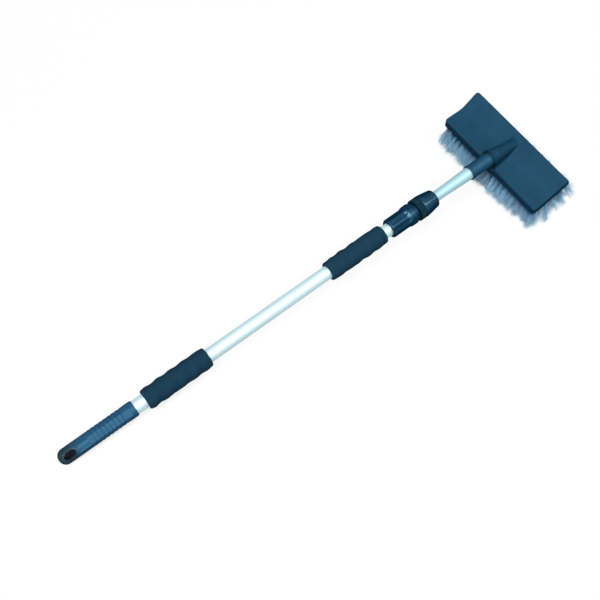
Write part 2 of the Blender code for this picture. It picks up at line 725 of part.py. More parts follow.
def boss_section(x):
    """Half width, foot, arch height and top of the socket boss at x, in the pole frame."""
    flat_end = MOUTH_X + BOSS_FLAT_LENGTH
    run = BOSS_REACH - BOSS_FLAT_LENGTH
    share = max(0.0, (x - flat_end) / run)
    radius = (BOSS_DIAMETER if x <= MOUTH_X + BOSS_COLLAR_LENGTH else BOSS_NECK_DIAMETER) / 2
    half = radius + (BOSS_END_WIDTH / 2 - radius) * share
    top = radius - (radius + BOSS_END_BELOW_POLE) * share
    foot = wing_height(max(x, NEAR_EDGE_X), BOSS_ROOT)
    arch = min(half, (top - foot) * BOSS_ARCH_SHARE)
    return half, foot, arch, top


def wing_height(x, depth):
    """Pole-frame height of the head at x and a depth below its top surface."""
    near = head_point(*wing_point(0.0, depth))
    valley = head_point(*wing_point(wing_length(depth), depth))
    far = head_point(*wing_point(0.0, depth, far=True))
    a, b = (near, valley) if x < valley[0] else (valley, far)
    return a[1] + (b[1] - a[1]) * (x - a[0]) / (b[0] - a[0])


def make_boss(parent):
    """Socket boss that grows out of the near wing and fades into the far one. Its side walls
    have a moulding's draft, so that they overhang neither wing."""
    bm = bmesh.new()
    steps = 8
    collar_end = MOUTH_X + BOSS_COLLAR_LENGTH
    stations = [MOUTH_X, collar_end, collar_end + BOSS_COLLAR_STEP, MOUTH_X + BOSS_FLAT_LENGTH]
    run = BOSS_REACH - BOSS_FLAT_LENGTH
    stations += [MOUTH_X + BOSS_FLAT_LENGTH + run * (k + 1) / steps for k in range(steps)]
    rings = []
    for x in stations:
        half, foot, arch, top = boss_section(x)
        angles = [math.pi * k / PIN_SIDES for k in range(PIN_SIDES + 1)]
        ring = [(half * math.cos(a), top - arch + arch * math.sin(a)) for a in angles]
        wide = half + BOSS_DRAFT * (top - arch - foot)
        ring += [(-wide, foot), (wide, foot)]
        rings.append([bm.verts.new((x, y, z)) for y, z in ring])
    count = len(rings[0])
    for here, after in zip(rings, rings[1:]):
        for k in range(count):
            bm.faces.new((here[k], here[(k + 1) % count], after[(k + 1) % count], after[k]))
    bm.faces.new(rings[0])
    bm.faces.new(rings[-1])
    return finish_mesh(bm, "socket_boss_form", None, parent)


def make_head_cover(pole, head, material):
    """Moulded head: two raised wings, a skirt, the socket boss and ribs underneath."""
    item = head_block("head_cover", 0.0, HEAD_DEPTH, 0.0, head, material, round_top=True)
    bevel = item.modifiers.new("rounded_edges", 'BEVEL')
    bevel.width = HEAD_EDGE_ROUND
    bevel.segments = 2
    bevel.limit_method = 'ANGLE'
    bevel.angle_limit = math.radians(40)
    recess = head_block("plate_recess", PLATE_DEPTH, HEAD_DEPTH + CUT_OVERRUN,
                        HEAD_SKIRT_WALL, head)
    combine(item, recess, 'DIFFERENCE')
    combine(item, make_pockets(head), 'DIFFERENCE')
    combine(item, make_boss(pole), 'UNION')
    bore = NECK_SCREW_DIAMETER / 2 + SEAT_GAP
    depth = MOUTH_X + NECK_SCREW_LENGTH + SEAT_GAP
    outline = [(MOUTH_X - CUT_OVERRUN, 0.0), (MOUTH_X - CUT_OVERRUN, bore), (depth, bore),
               (depth, 0.0)]
    combine(item, turned("socket_cutter", outline, None, pole), 'DIFFERENCE')
    combine(item, screw_cutters("rib_screw_holes", SCREW_TIP_DEPTH - SEAT_GAP, head),
            'DIFFERENCE')
    return item


def pocket_layout():
    """Half length of the row of pockets and their pitch along the head."""
    half = end_y(HEAD_WIDTH / 2, HEAD_SKIRT_WALL + PLATE_LEDGE)
    return half, (2 * half + HEAD_RIB_WALL) / HEAD_POCKETS


def make_pockets(head):
    """Hollows between the cover's cross ribs, as one cutter of separate bodies."""
    inset = HEAD_SKIRT_WALL + PLATE_LEDGE
    half, pitch = pocket_layout()
    blocks = []
    for k in range(HEAD_POCKETS):
        y0 = -half + k * pitch
        y1 = y0 + pitch - HEAD_RIB_WALL
        blocks.append(head_block("pocket", HEAD_TOP_WALL, PLATE_DEPTH + HEAD_RIB_FOOT,
                                 inset, head, y0=y0, y1=y1))
    return merge(blocks, "pocket_cutters")


def merge(blocks, name):
    """Put the meshes of several cutters into the first one."""
    bm = bmesh.new()
    for block in blocks:
        bm.from_mesh(block.data)
    first = blocks[0]
    bm.to_mesh(first.data)
    bm.free()
    for block in blocks[1:]:
        bpy.data.objects.remove(block, do_unlink=True)
    first.name = name
    return first


def screw_places():
    """Length along the head and wing of each plate screw: one rib from either end, both wings."""
    half, pitch = pocket_layout()
    along = [-half - HEAD_RIB_WALL / 2 + k * pitch for k in SCREW_RIBS]
    return [(y, far) for y in along for far in (False, True)]


def turned_into_wing(name, outline, y, far, head, material=None):
    """Turn an outline of (depth, radius) points about a line square to a wing's middle."""
    item = turned(name, outline, material, head, sides=PIN_SIDES)
    w, n = wing_point(wing_length(0.0) / 2, 0.0, far)
    lean = -WING_ANGLE if far else WING_ANGLE
    item.data.transform(Matrix.Translation((w, y, n))
                        @ Matrix.Rotation(math.pi / 2 + lean, 4, 'Y'))
    return item


def screw_cutters(name, start, head):
    """Holes round the four plate screws from a depth down through the plate, as one cutter."""
    radius = SCREW_DIAMETER / 2 + SEAT_GAP
    wide = SCREW_HEAD_DIAMETER / 2 + SEAT_GAP
    face = PLATE_DEPTH + PLATE_THICKNESS
    outline = [(start, 0.0), (start, radius), (face - SCREW_SUNK - SCREW_HEAD_HEIGHT, radius),
               (face - SCREW_SUNK, wide), (face + SCREW_HEAD_HEIGHT, wide),
               (face + SCREW_HEAD_HEIGHT, 0.0)]
    return merge([turned_into_wing(name, outline, y, far, head) for y, far in screw_places()],
                 name)


def make_plate_screw(name, y, far, head, material):
    """Countersunk screw that holds the tuft plate to a rib of the cover."""
    radius = SCREW_DIAMETER / 2
    face = PLATE_DEPTH + PLATE_THICKNESS - SCREW_SUNK
    outline = [(SCREW_TIP_DEPTH, 0.0), (SCREW_TIP_DEPTH + radius, radius),
               (face - SCREW_HEAD_HEIGHT, radius), (face - SEAT_GAP, SCREW_HEAD_DIAMETER / 2),
               (face, SCREW_HEAD_DIAMETER / 2), (face, radius), (face - SCREW_DIMPLE, 0.0)]
    return turned_into_wing(name, outline, y, far, head, material)


def make_tuft_plate(head, material):
    """Two-winged plate that closes the cover and backs the bristle strips."""
    item = head_block("tuft_plate", PLATE_DEPTH + SEAT_GAP, PLATE_DEPTH + PLATE_THICKNESS,
                      HEAD_SKIRT_WALL + SEAT_GAP, head, material)
    combine(item, screw_cutters("plate_screw_holes", PLATE_DEPTH - SCREW_HEAD_HEIGHT, head),
            'DIFFERENCE')
    return item


def strip_corners(row):
    """Cross-section corners of a backing strip: top pair, then bottom pair."""
    u0, u1 = strip_span(row)
    far = row >= ROWS_PER_WING
    return [wing_point(u0, STRIP_DEPTH, far), wing_point(u1, STRIP_DEPTH, far),
            wing_point(u0, STRIP_FACE, far), wing_point(u1, STRIP_FACE, far)]


def make_bristle_row(row, name, head, material):
    """One strip of the tuft block with its row of tufts, four splayed strands to a tuft."""
    bm = bmesh.new()
    tufts = TUFTS_IN_LONG_ROW - row % 2
    half = end_y(HEAD_WIDTH / 2, HEAD_SKIRT_WALL + SEAT_GAP)
    pitch = 2 * half / TUFTS_IN_LONG_ROW
    first = -half + pitch * SHORT_ROW_MARGIN_SHARE * (row % 2)
    centres = [first + pitch * (k + 0.5) for k in range(tufts)]
    lines = [-half]
    for centre in centres:
        lines += [centre, centre + pitch / 2]
    lines[-1] = half
    top_in, top_out, low_in, low_out = [Vector(c) for c in strip_corners(row)]
    grid = []
    for share in (0.0, 0.5, 1.0):
        place = low_in.lerp(low_out, share)
        grid.append([bm.verts.new((place.x, y, place.y)) for y in lines])
    tops = [[bm.verts.new((c.x, y, c.y)) for y in (-half, half)] for c in (top_in, top_out)]
    cells = []
    for i in range(2):
        for k in range(len(lines) - 1):
            cells.append(bm.faces.new((grid[i][k], grid[i][k + 1],
                                       grid[i + 1][k + 1], grid[i + 1][k])))
    bm.faces.new(grid[0] + [tops[0][1], tops[0][0]])
    bm.faces.new(grid[2] + [tops[1][1], tops[1][0]])
    bm.faces.new((grid[0][0], grid[1][0], grid[2][0], tops[1][0], tops[0][0]))
    bm.faces.new((grid[0][-1], grid[1][-1], grid[2][-1], tops[1][1], tops[0][1]))
    bm.faces.new((tops[0][0], tops[0][1], tops[1][1], tops[1][0]))
    inset = min(pitch, (low_out - low_in).length) / 8
    bmesh.ops.inset_individual(bm, faces=cells, thickness=inset)
    grow_strands(bm, cells, row, centres, low_in, low_out)
    return finish_mesh(bm, name, material, head)


def grow_strands(bm, cells, row, centres, low_in, low_out):
    """Pull each inset face into a strand that leans with its row and splays from its tuft."""
    across = (low_out - low_in).normalized()
    middle = (low_in + low_out) / 2
    lean = row_lean(row)
    along = Vector((math.sin(lean), -math.cos(lean)))
    side = Vector((math.cos(lean), math.sin(lean)))
    reach = max(abs(c) for c in centres)
    for face in cells:
        place = face.calc_center_median()
        tuft = min(centres, key=lambda c: abs(c - place.y))
        u_sign = 1 if (Vector((place.x, place.z)) - middle).dot(across) > 0 else -1
        u_tip = u_sign if across.dot(side) > 0 else -u_sign
        y_sign = 1 if place.y > tuft else -1
        signs = []
        for vertex in face.verts:
            step = vertex.co - place
            a = 1 if Vector((step.x, step.z)).dot(across) > 0 else -1
            b = 1 if vertex.co.y > place.y else -1
            signs.append((a, b))
            flat = middle + across * (u_sign * TUFT_ROOT_SPREAD + a * BRISTLE_ROOT_SIZE) / 2
            y = tuft + (y_sign * TUFT_ROOT_SPREAD + b * BRISTLE_ROOT_SIZE) / 2
            vertex.co = (flat.x, y, flat.y)
        roots = [v.co.copy() for v in face.verts]
        end_lean = END_TUFT_LEAN * tuft / reach
        top = bmesh.ops.extrude_discrete_faces(bm, faces=[face])["faces"][0]
        drop = BRISTLE_LENGTH * math.cos(end_lean)
        turn = 1 if across.dot(side) > 0 else -1
        for vertex, (a, b), root in zip(top.verts, signs, roots):
            offset = (u_tip * TUFT_TIP_SPREAD + a * turn * BRISTLE_TIP_SIZE) / 2
            flat = middle + along * drop + side * offset
            y = tuft + BRISTLE_LENGTH * math.sin(end_lean)
            y += (y_sign * TUFT_TIP_SPREAD + b * BRISTLE_TIP_SIZE) / 2
            vertex.co = on_or_over_floor(root, Vector((flat.x, y, flat.y)))


def on_or_over_floor(root, tip):
    """Shorten a strand's edge to the floor where it would go below it."""
    low = height_over_floor(tip.x, tip.z)
    if low >= 0:
        return tip
    high = height_over_floor(root.x, root.z)
    return root.lerp(tip, high / (high - low))


# The whole brush

def make_frames():
    """The pole's empty, tilted as the brush lies, and the head's empty on it."""
    pole = bpy.data.objects.new("pole_axis", None)
    head = bpy.data.objects.new("head_frame", None)
    for empty in (pole, head):
        bpy.context.collection.objects.link(empty)
    pole.rotation_euler = (0.0, -LIE, 0.0)
    head.parent = pole
    head.location = (NEAR_EDGE_X, 0.0, -HEAD_BELOW_POLE)
    head.rotation_euler = (0.0, -HEAD_TILT, 0.0)
    return pole, head


def lengthwise_limits(items):
    """Least and greatest world x of the finished pieces."""
    bpy.context.view_layer.update()
    graph = bpy.context.evaluated_depsgraph_get()
    low, high = [], []
    for item in items:
        solid = item.evaluated_get(graph)
        mesh = solid.to_mesh()
        flat = np.empty(3 * len(mesh.vertices), dtype=np.float32)
        mesh.vertices.foreach_get("co", flat)
        place = np.array(item.matrix_world)
        x = flat.reshape(-1, 3) @ place[0, :3] + place[0, 3]
        low.append(float(x.min()))
        high.append(float(x.max()))
        solid.to_mesh_clear()
    return min(low), max(high)


def stand_on_floor(pole, items):
    """Put the floor's contact at z = 0 and the middle of the brush's length at x = 0."""
    low, high = lengthwise_limits(items)
    pole.location = (-(low + high) / 2, 0.0, -FLOOR_LEVEL)


def main():
    clear_scene()
    pole, head = make_frames()
    grip_plastic = finish("grip_plastic", (0.035, 0.13, 0.23), 0.5)
    lock_plastic = finish("lock_plastic", (0.012, 0.06, 0.125), 0.25)
    neck_plastic = finish("neck_plastic", (0.014, 0.06, 0.12), 0.4)
    head_plastic = finish("head_plastic", (0.019, 0.075, 0.135), 0.55)
    natural_plastic = finish("natural_plastic", (0.55, 0.62, 0.64), 0.5)
    foam = finish("foam", (0.013, 0.048, 0.09), 0.95)
    aluminium = finish("aluminium", (0.72, 0.88, 0.90), 0.3, 1.0)
    steel = finish("zinc_plated_steel", (0.6, 0.66, 0.7), 0.35, 1.0)
    bristle = finish("bristle", (0.22, 0.40, 0.60), 0.6)
    items = [
        make_end_handle(pole, grip_plastic),
        make_outer_tube(pole, aluminium),
        make_foam_grip("lower_foam_grip", LOWER_FOAM_X, pole, foam),
        make_foam_grip("upper_foam_grip", UPPER_FOAM_X, pole, foam),
        make_lock_sleeve(pole, lock_plastic),
        make_lock_collet(pole, natural_plastic),
        make_lock_nut(pole, lock_plastic),
        make_inner_tube(pole, aluminium),
        make_tube_plug(pole, lock_plastic),
        make_guide_ring(pole, natural_plastic),
        make_neck(pole, neck_plastic),
        make_neck_rivet(pole, aluminium),
        make_head_cover(pole, head, head_plastic),
        make_tuft_plate(head, head_plastic),
    ]
    for row in range(2 * ROWS_PER_WING):
        items.append(make_bristle_row(row, f"bristle_row_{row + 1}", head, bristle))
    for place, (y, far) in enumerate(screw_places()):
        items.append(make_plate_screw(f"plate_screw_{place + 1}", y, far, head, steel))
    stand_on_floor(pole, items)


main()
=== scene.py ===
"""The car wash brush as it looks: surfaces worked out with numpy, and node-based materials.

Metres. Pole frame: x along the pole from the handle's end, y to the side, z square to the pole.
Head frame: w across the head from its near long edge to its far one, y along it, n up.
"""
import json
import math

import bpy
import numpy as np
from mathutils import Matrix, Vector


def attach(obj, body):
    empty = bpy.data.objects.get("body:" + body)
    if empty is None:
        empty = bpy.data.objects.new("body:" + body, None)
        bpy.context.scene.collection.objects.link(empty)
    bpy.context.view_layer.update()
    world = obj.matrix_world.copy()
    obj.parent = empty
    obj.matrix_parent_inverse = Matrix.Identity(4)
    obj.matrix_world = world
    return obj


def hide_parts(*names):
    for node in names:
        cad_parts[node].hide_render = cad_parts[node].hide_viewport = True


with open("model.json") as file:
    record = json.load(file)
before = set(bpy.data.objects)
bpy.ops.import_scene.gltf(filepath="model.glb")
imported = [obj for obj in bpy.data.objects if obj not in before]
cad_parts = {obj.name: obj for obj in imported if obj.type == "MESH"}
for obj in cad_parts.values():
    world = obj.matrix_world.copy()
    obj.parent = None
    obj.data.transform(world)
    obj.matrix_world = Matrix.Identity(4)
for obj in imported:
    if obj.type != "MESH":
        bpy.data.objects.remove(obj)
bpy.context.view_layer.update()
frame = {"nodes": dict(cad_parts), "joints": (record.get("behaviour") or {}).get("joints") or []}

# Lengths along the pole
HANDLE_LENGTH = 0.145
HANDLE_SOLID = 0.059
HANDLE_ROLL = math.radians(27.0)
LOWER_FOAM_X = 0.1655
FOAM_LENGTH = 0.127
UPPER_FOAM_X = 0.5545
SLEEVE_X = 0.697
SLEEVE_LENGTH = 0.060
NUT_X = 0.7605
NUT_LENGTH = 0.0465
NECK_X = 0.895
MOUTH_X = 0.949
NEAR_EDGE_X = 0.9565
GAP = 0.0003

# Radii
HANDLE_RADIUS = 0.0141
HANDLE_BORE = 0.0128
OUTER_TUBE_RADIUS = 0.0125
OUTER_TUBE_BORE = 0.0115
INNER_TUBE_RADIUS = 0.0103
NECK_TUBE_RADIUS = 0.0123
TUBE_WALL = 0.001
FOAM_RADIUS = 0.0180
SLEEVE_RADIUS = 0.0186
FLARE_RADIUS = 0.0206
LOCK_BORE = 0.0106
NUT_RADIUS = 0.0217
TINY = 0.00002
SOFT_EDGE = math.radians(34)

# Hang hole: its middle along the pole, half of its straight part, and half its width
HOLE_X = 0.0200
HOLE_STRAIGHT = 0.00425
HOLE_RADIUS = 0.00625

# Ribbed rear band of the lock nut
BAND_LENGTH = 0.0126

# Head
HEAD_LENGTH = 0.257
HEAD_WIDTH = 0.084
HEAD_VALLEY = 0.011
HEAD_DEPTH = 0.020
HEAD_TILT = math.radians(20.6)
HEAD_BELOW_POLE = 0.026
WING_ANGLE = math.atan2(HEAD_VALLEY, HEAD_WIDTH / 2)
WING_SLOPE = HEAD_VALLEY / (HEAD_WIDTH / 2)
VALLEY_SOFTNESS = 0.0060
EDGE_ROUND = 0.0038
CORNER_ROUND = 0.0062
END_HOLLOW = 0.0018
EDGE_BUMP = 0.0030
BUMP_FLAT = 0.0150
BUMP_REACH = 0.0270

# Camera in the pole frame: place, directions, small roll in radians, and shift across the pole
CAMERA_PLACE = (NECK_X - 0.7903, -0.4233, 1.3357)
CAMERA_RIGHT = (0.7906, -0.6113, 0.0353)
CAMERA_DOWN = (-0.5543, -0.7389, -0.3832)
CAMERA_AHEAD = (0.2604, 0.2834, -0.9230)
ROLL = 0.0028
CAMERA_SHIFT = 0.0007
SHIFT_WAY = (0.0, 0.956, 0.2935)
FOCAL_PIXELS = 824
FRAME_PIXELS = 600
SENSOR = 36.0

# Cool tint of the gloss on the plastics and of the tubes' edges
SHEEN = (0.38, 0.78, 1.0, 1.0)
TUBE_EDGE = (0.32, 0.55, 0.62, 1.0)

# Light that the surroundings give to what they aren't seen in
AMBIENT = 0.12

# Floor: its height and half its side, how far round it looks for cover, and how white it glows
FLOOR_LEVEL = -0.0004
FLOOR_HALF = 6
COVER_REACH = 0.06
FLOOR_GLOW = 0.90

# Painted shadow: a dark patch painted on the floor under the handle's end, for what the hang hole
# shows. Low side views show its edge too. Its middle, in the pole frame's x and y, and half sizes
HOLE_SHADE = (0.0242, 0.0045)
HOLE_SHADE_SIZE = (0.0170, 0.0100)

# Long softbox: its size, how far off it is, and the middle of what it lights
STRIP_LENGTH = 3.7
STRIP_WIDTH = 0.20
STRIP_AWAY = 2.2
STRIP_MIDDLE = 1.62

# Bristles
ROWS = 6
TUFTS_IN_LONG_ROW = 22
BRISTLE_LENGTH = 0.055
HAIRS_IN_TUFT = 180
HAIR_STATIONS = (0.0, 0.22, 0.46, 0.68, 0.86, 1.0)
NEAR_LEAN = math.radians(-27.0)
FAR_LEAN = math.radians(12.0)
CORNER_LEAN = math.radians(7.0)
LEFT_TILT = math.radians(2.5)
RIGHT_TILT = math.radians(20.0)
LOCKS_IN_TUFT = 12
END_LIMIT = 0.1400
END_SOFTNESS = 0.004
HAIR_RADIUS = 0.00030
HAIR_REST = 0.0004
ROW_MARGIN = 0.0033

# Painted shade: share of each row's hairs, from the root, that is painted dark for the shade its neighbours cast
ROW_PAINTED_SHADE = (0.04, 0.60, 0.66, 0.60, 0.34, 0.10)
# Painted shade: the smaller share painted dark in the tufts at the head's two ends
EDGE_PAINTED_SHADE = 0.04

# The pole's axes in the row frame
NUT_TURN = next(j for j in frame["joints"] if j["name"] == "lock_nut_turn")
ALONG = np.array(NUT_TURN["axis"], float)
ALONG /= np.linalg.norm(ALONG)
SIDE = np.array((0.0, 1.0, 0.0))
UP = np.cross(ALONG, SIDE)
POLE_START = np.array(NUT_TURN["pos_m"], float) - NUT_X * ALONG
LIE = math.atan2(ALONG[2], ALONG[0])


# Surfaces

def to_row(points):
    """Pole-frame points in the row frame: the start plus x, y, z times the three axes."""
    return POLE_START + points @ np.stack((ALONG, SIDE, UP))


def head_to_pole(w, y, n):
    """Head-frame points in the pole frame: w and n turned by the tilt, from the near edge."""
    c, s = math.cos(HEAD_TILT), math.sin(HEAD_TILT)
    return np.stack(np.broadcast_arrays(NEAR_EDGE_X + w * c - n * s, y,
                                        -HEAD_BELOW_POLE + w * s + n * c), -1)


def grid_faces(rows, columns, first=0, wrap_rows=False):
    """Quads between neighbouring rows and columns of a grid whose columns run in a ring."""
    last = rows if wrap_rows else rows - 1
    i, j = np.meshgrid(np.arange(last), np.arange(columns), indexing="ij")
    k = (i + 1) % rows
    m = (j + 1) % columns
    quads = np.stack((i * columns + j, i * columns + m, k * columns + m, k * columns + j), -1)
    return first + quads.reshape(-1, 4)


def fan_faces(ring, pole):
    """Triangles from a ring's points to one middle point."""
    return np.stack((ring, np.roll(ring, -1), np.full(len(ring), pole)), -1)


def volume(points, quads):
    """Signed volume: a sixth of the sum of each triangle's triple product."""
    a, b, c, d = (points[quads[:, k]] for k in range(4))
    return float(np.einsum("ij,ij->", a, np.cross(b, c)) + np.einsum("ij,ij->", a, np.cross(c, d))) / 6


def link(item):
    """Puts an object in the scene."""
    bpy.context.scene.collection.objects.link(item)
    return item


def finish_mesh(name, points, faces, body, nodes, material, sharp=SOFT_EDGE):
    """Makes the object, smooth apart from edges sharper than an angle, and ties it to its body."""
    mesh = bpy.data.meshes.new(name)
    mesh.from_pydata(points.tolist(), [], faces)
    mesh.update()
    mesh.shade_smooth()
    mesh.set_sharp_from_angle(angle=sharp)
    item = link(bpy.data.objects.new(name, mesh))
    if material is not None:
        mesh.materials.append(material)
        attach(item, body)
        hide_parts(*nodes)
    return item


def second_finish(item, material, marked):
    """Gives the faces that an array marks the mesh's second material."""
    item.data.materials.append(material)
    item.data.polygons.foreach_set("material_index", marked.astype(np.int32))


def ring_surface(name, rings, body, nodes, material, loop=False, sharp=SOFT_EDGE):
    """A closed surface of rings. As a loop the last ring joins the first; otherwise a fan to
    the mean of the first and of the last ring's points closes each end."""
    rows, columns = rings.shape[:2]
    points = rings.reshape(-1, 3)
    quads = grid_faces(rows, columns, wrap_rows=loop)
    middle = points.mean(0)
    flip = volume(points - middle, quads) < 0
    if flip:
        quads = quads[:, ::-1]
    faces = quads.tolist()
    if not loop:
        count = len(points)
        points = np.vstack((points, rings[0].mean(0), rings[-1].mean(0)))
        first = fan_faces(np.arange(columns), count)[:, ::-1]
        last = fan_faces(np.arange(columns) + (rows - 1) * columns, count + 1)
        ends = np.vstack((first, last))
        faces += (ends[:, ::-1] if flip else ends).tolist()
    return finish_mesh(name, points, faces, body, nodes, material, sharp)


def turned(profile, columns=128, shape=None, angles=None):
    """Rings about the pole: each (x, r) of the profile becomes x, r cos a, r sin a. shape gives
    the radius again from x, r and a where it isn't round. The angles are even if none are given."""
    profile = np.asarray(profile, float)
    a = np.linspace(0, 2 * math.pi, columns, endpoint=False) if angles is None else angles
    a = a[None, :]
    x = np.repeat(profile[:, :1], a.shape[1], 1)
    r = np.repeat(profile[:, 1:], a.shape[1], 1)
    if shape is not None:
        r = shape(x, r, np.broadcast_to(a, x.shape))
    return to_row(np.stack((x, r * np.cos(a), r * np.sin(a)), -1))


def arc(x, r, radius, start, stop, steps=8):
    """Points on a circle about (x, r) from one angle to another, in degrees from +x."""
    a = np.radians(np.linspace(start, stop, steps + 1))
    return np.stack((x + radius * np.cos(a), r + radius * np.sin(a)), -1)


def line(x0, r0, x1, r1, steps=1):
    """Evenly spaced points from one end to the other."""
    t = np.linspace(0, 1, steps + 1)[:, None]
    return np.array((x0, r0)) + t * (np.array((x1, r1)) - np.array((x0, r0)))


def ease(t):
    """0 to 1 with level ends: three t squared less two t cubed."""
    t = np.clip(t, 0, 1)
    return t * t * (3 - 2 * t)


def cut(item, cutter):
    """Cuts the cutter out of the item for good and removes the cutter."""
    modifier = item.modifiers.new("cut", 'BOOLEAN')
    modifier.operation = 'DIFFERENCE'
    modifier.solver = 'EXACT'
    modifier.object = cutter
    bpy.context.view_layer.update()
    graph = bpy.context.evaluated_depsgraph_get()
    mesh = bpy.data.meshes.new_from_object(item.evaluated_get(graph))
    item.modifiers.clear()
    old = item.data
    item.data = mesh
    bpy.data.meshes.remove(old)
    mesh.name = item.name
    bpy.data.objects.remove(cutter)
    mesh.shade_smooth()
    mesh.set_sharp_from_angle(angle=SOFT_EDGE)


# Shader groups and materials

FINISH = (("Colour", "colour"), ("Roughness", "number"), ("Normal", "vector"))
SOCKETS = {"colour": 'NodeSocketColor', "number": 'NodeSocketFloat', "vector": 'NodeSocketVector'}


def new_group(name, *inputs):
    """A shader node group with named inputs, which puts out colour, roughness and normal; returns
    it with its inputs' sockets."""
    group = bpy.data.node_groups.new(name, 'ShaderNodeTree')
    for label, kind in inputs:
        group.interface.new_socket(label, in_out='INPUT', socket_type=SOCKETS[kind])
    for label, kind in FINISH:
        group.interface.new_socket(label, in_out='OUTPUT', socket_type=SOCKETS[kind])
    return group, group.nodes.new('NodeGroupInput').outputs


def close_group(group, *values):
    """Links a colour, a roughness and a normal to the group's outputs."""
    out = group.nodes.new('NodeGroupOutput')
    for (label, _), value in zip(FINISH, values):
        group.links.new(value, out.inputs[label])
    return group


def node(tree, kind, **inputs):
    """Adds a node and sets or links its inputs, by number as in1 or by name."""
    made = tree.nodes.new(kind)
    for key, value in inputs.items():
        if key.startswith("set_"):
            setattr(made, key[4:], value)
            continue
        socket = made.inputs[int(key[2:])] if key.startswith("in") else made.inputs[key.replace("_", " ")]
        if isinstance(value, bpy.types.NodeSocket):
            tree.links.new(value, socket)
        else:
            socket.default_value = value
    return made


def maths(tree, operation, a, b=0.0, c=0.0):
    """A Math node's output."""
    return node(tree, 'ShaderNodeMath', set_operation=operation, in0=a, in1=b, in2=c).outputs[0]


def own_place(tree):
    """The piece's own coordinates."""
    return tree.nodes.new('ShaderNodeTexCoord').outputs["Object"]


def noise(tree, place, scale, detail, roughness=0.5):
    """A noise texture's value."""
    return node(tree, 'ShaderNodeTexNoise', Vector=place, Scale=scale, Detail=detail,
                Roughness=roughness).outputs["Fac"]


def spread(tree, value, start, stop, low=0.0, high=1.0):
    """Runs evenly from low to high while the value goes from start to stop, and is level beyond."""
    return node(tree, 'ShaderNodeMapRange', Value=value, in1=start, in2=stop, in3=low, in4=high).outputs[0]


def between(tree, share, first, second):
    """The first colour where the share is 0, and the second where it is 1."""
    return node(tree, 'ShaderNodeMix', set_data_type='RGBA', in0=share, in6=first, in7=second).outputs[2]


def make_moulded_group():
    """Moulded plastic: fine grain, slow colour drift and pale rubbed spots."""
    group, given = new_group("moulded_plastic", ("Colour", "colour"), ("Worn Colour", "colour"),
                             ("Grain Scale", "number"), ("Grain Height", "number"),
                             ("Roughness", "number"), ("Wear", "number"))
    place = own_place(group)
    grain = noise(group, place, given["Grain Scale"], 4.0, 0.6)
    drift = noise(group, place, 22.0, 3.0, 0.55)
    scuff = noise(group, place, 70.0, 6.0, 0.7)
    worn = maths(group, 'MULTIPLY', spread(group, scuff, 0.56, 0.74), given["Wear"])
    tone = spread(group, drift, 0.3, 0.7, 0.86, 1.14)
    grey = node(group, 'ShaderNodeCombineXYZ', X=tone, Y=tone, Z=tone).outputs[0]
    toned = node(group, 'ShaderNodeMix', set_data_type='RGBA', set_blend_type='MULTIPLY', in0=1.0,
                 in6=given["Colour"], in7=grey).outputs[2]
    colour = between(group, worn, toned, given["Worn Colour"])
    rough = maths(group, 'MULTIPLY_ADD', drift, 0.14, given["Roughness"])
    rough = maths(group, 'MULTIPLY_ADD', worn, 0.12, rough)
    bump = node(group, 'ShaderNodeBump', Height=grain, Distance=given["Grain Height"], Strength=1.0)
    return close_group(group, colour, rough, bump.outputs[0])


def make_drawn_group():
    """Drawn and anodised tube: fine lines along the pole, a faint drift and small dull marks."""
    group, given = new_group("drawn_aluminium", ("Colour", "colour"), ("Dull Colour", "colour"),
                             ("Roughness", "number"))
    place = own_place(group)
    drawn_out = node(group, 'ShaderNodeMapping', Vector=place, Rotation=(0.0, LIE, 0.0),
                     Scale=(2.5, 420.0, 420.0)).outputs[0]
    lines = noise(group, drawn_out, 1.0, 5.0, 0.65)
    drift = noise(group, place, 14.0, 3.0)
    dull = spread(group, noise(group, place, 160.0, 4.0, 0.7), 0.6, 0.78, 0.0, 0.5)
    tone = maths(group, 'MULTIPLY', lines, 0.10)
    tone = maths(group, 'MULTIPLY_ADD', drift, 0.12, tone)
    colour = between(group, maths(group, 'MAXIMUM', dull, tone), given["Colour"], given["Dull Colour"])
    rough = maths(group, 'MULTIPLY_ADD', lines, 0.12, given["Roughness"])
    rough = maths(group, 'MULTIPLY_ADD', dull, 0.2, rough)
    bump = node(group, 'ShaderNodeBump', Height=lines, Distance=0.00003, Strength=0.6)
    return close_group(group, colour, rough, bump.outputs[0])


def blank(name, tint):
    """A material with its Principled shader and the tint of its gloss: returns the material, its
    tree and the shader."""
    material = bpy.data.materials.new(name)
    material.use_nodes = True
    tree = material.node_tree
    shader = tree.nodes["Principled BSDF"]
    shader.inputs["Specular Tint"].default_value = tint
    return material, tree, shader


def use_group(tree, shader, group, **values):
    """Places a group in a material with its own values and links its outputs to the shader."""
    made = tree.nodes.new('ShaderNodeGroup')
    made.node_tree = group
    for key, value in values.items():
        made.inputs[key.replace("_", " ")].default_value = value
    for label, socket in (("Colour", "Base Color"), ("Roughness", "Roughness"), ("Normal", "Normal")):
        tree.links.new(made.outputs[label], shader.inputs[socket])
    return made


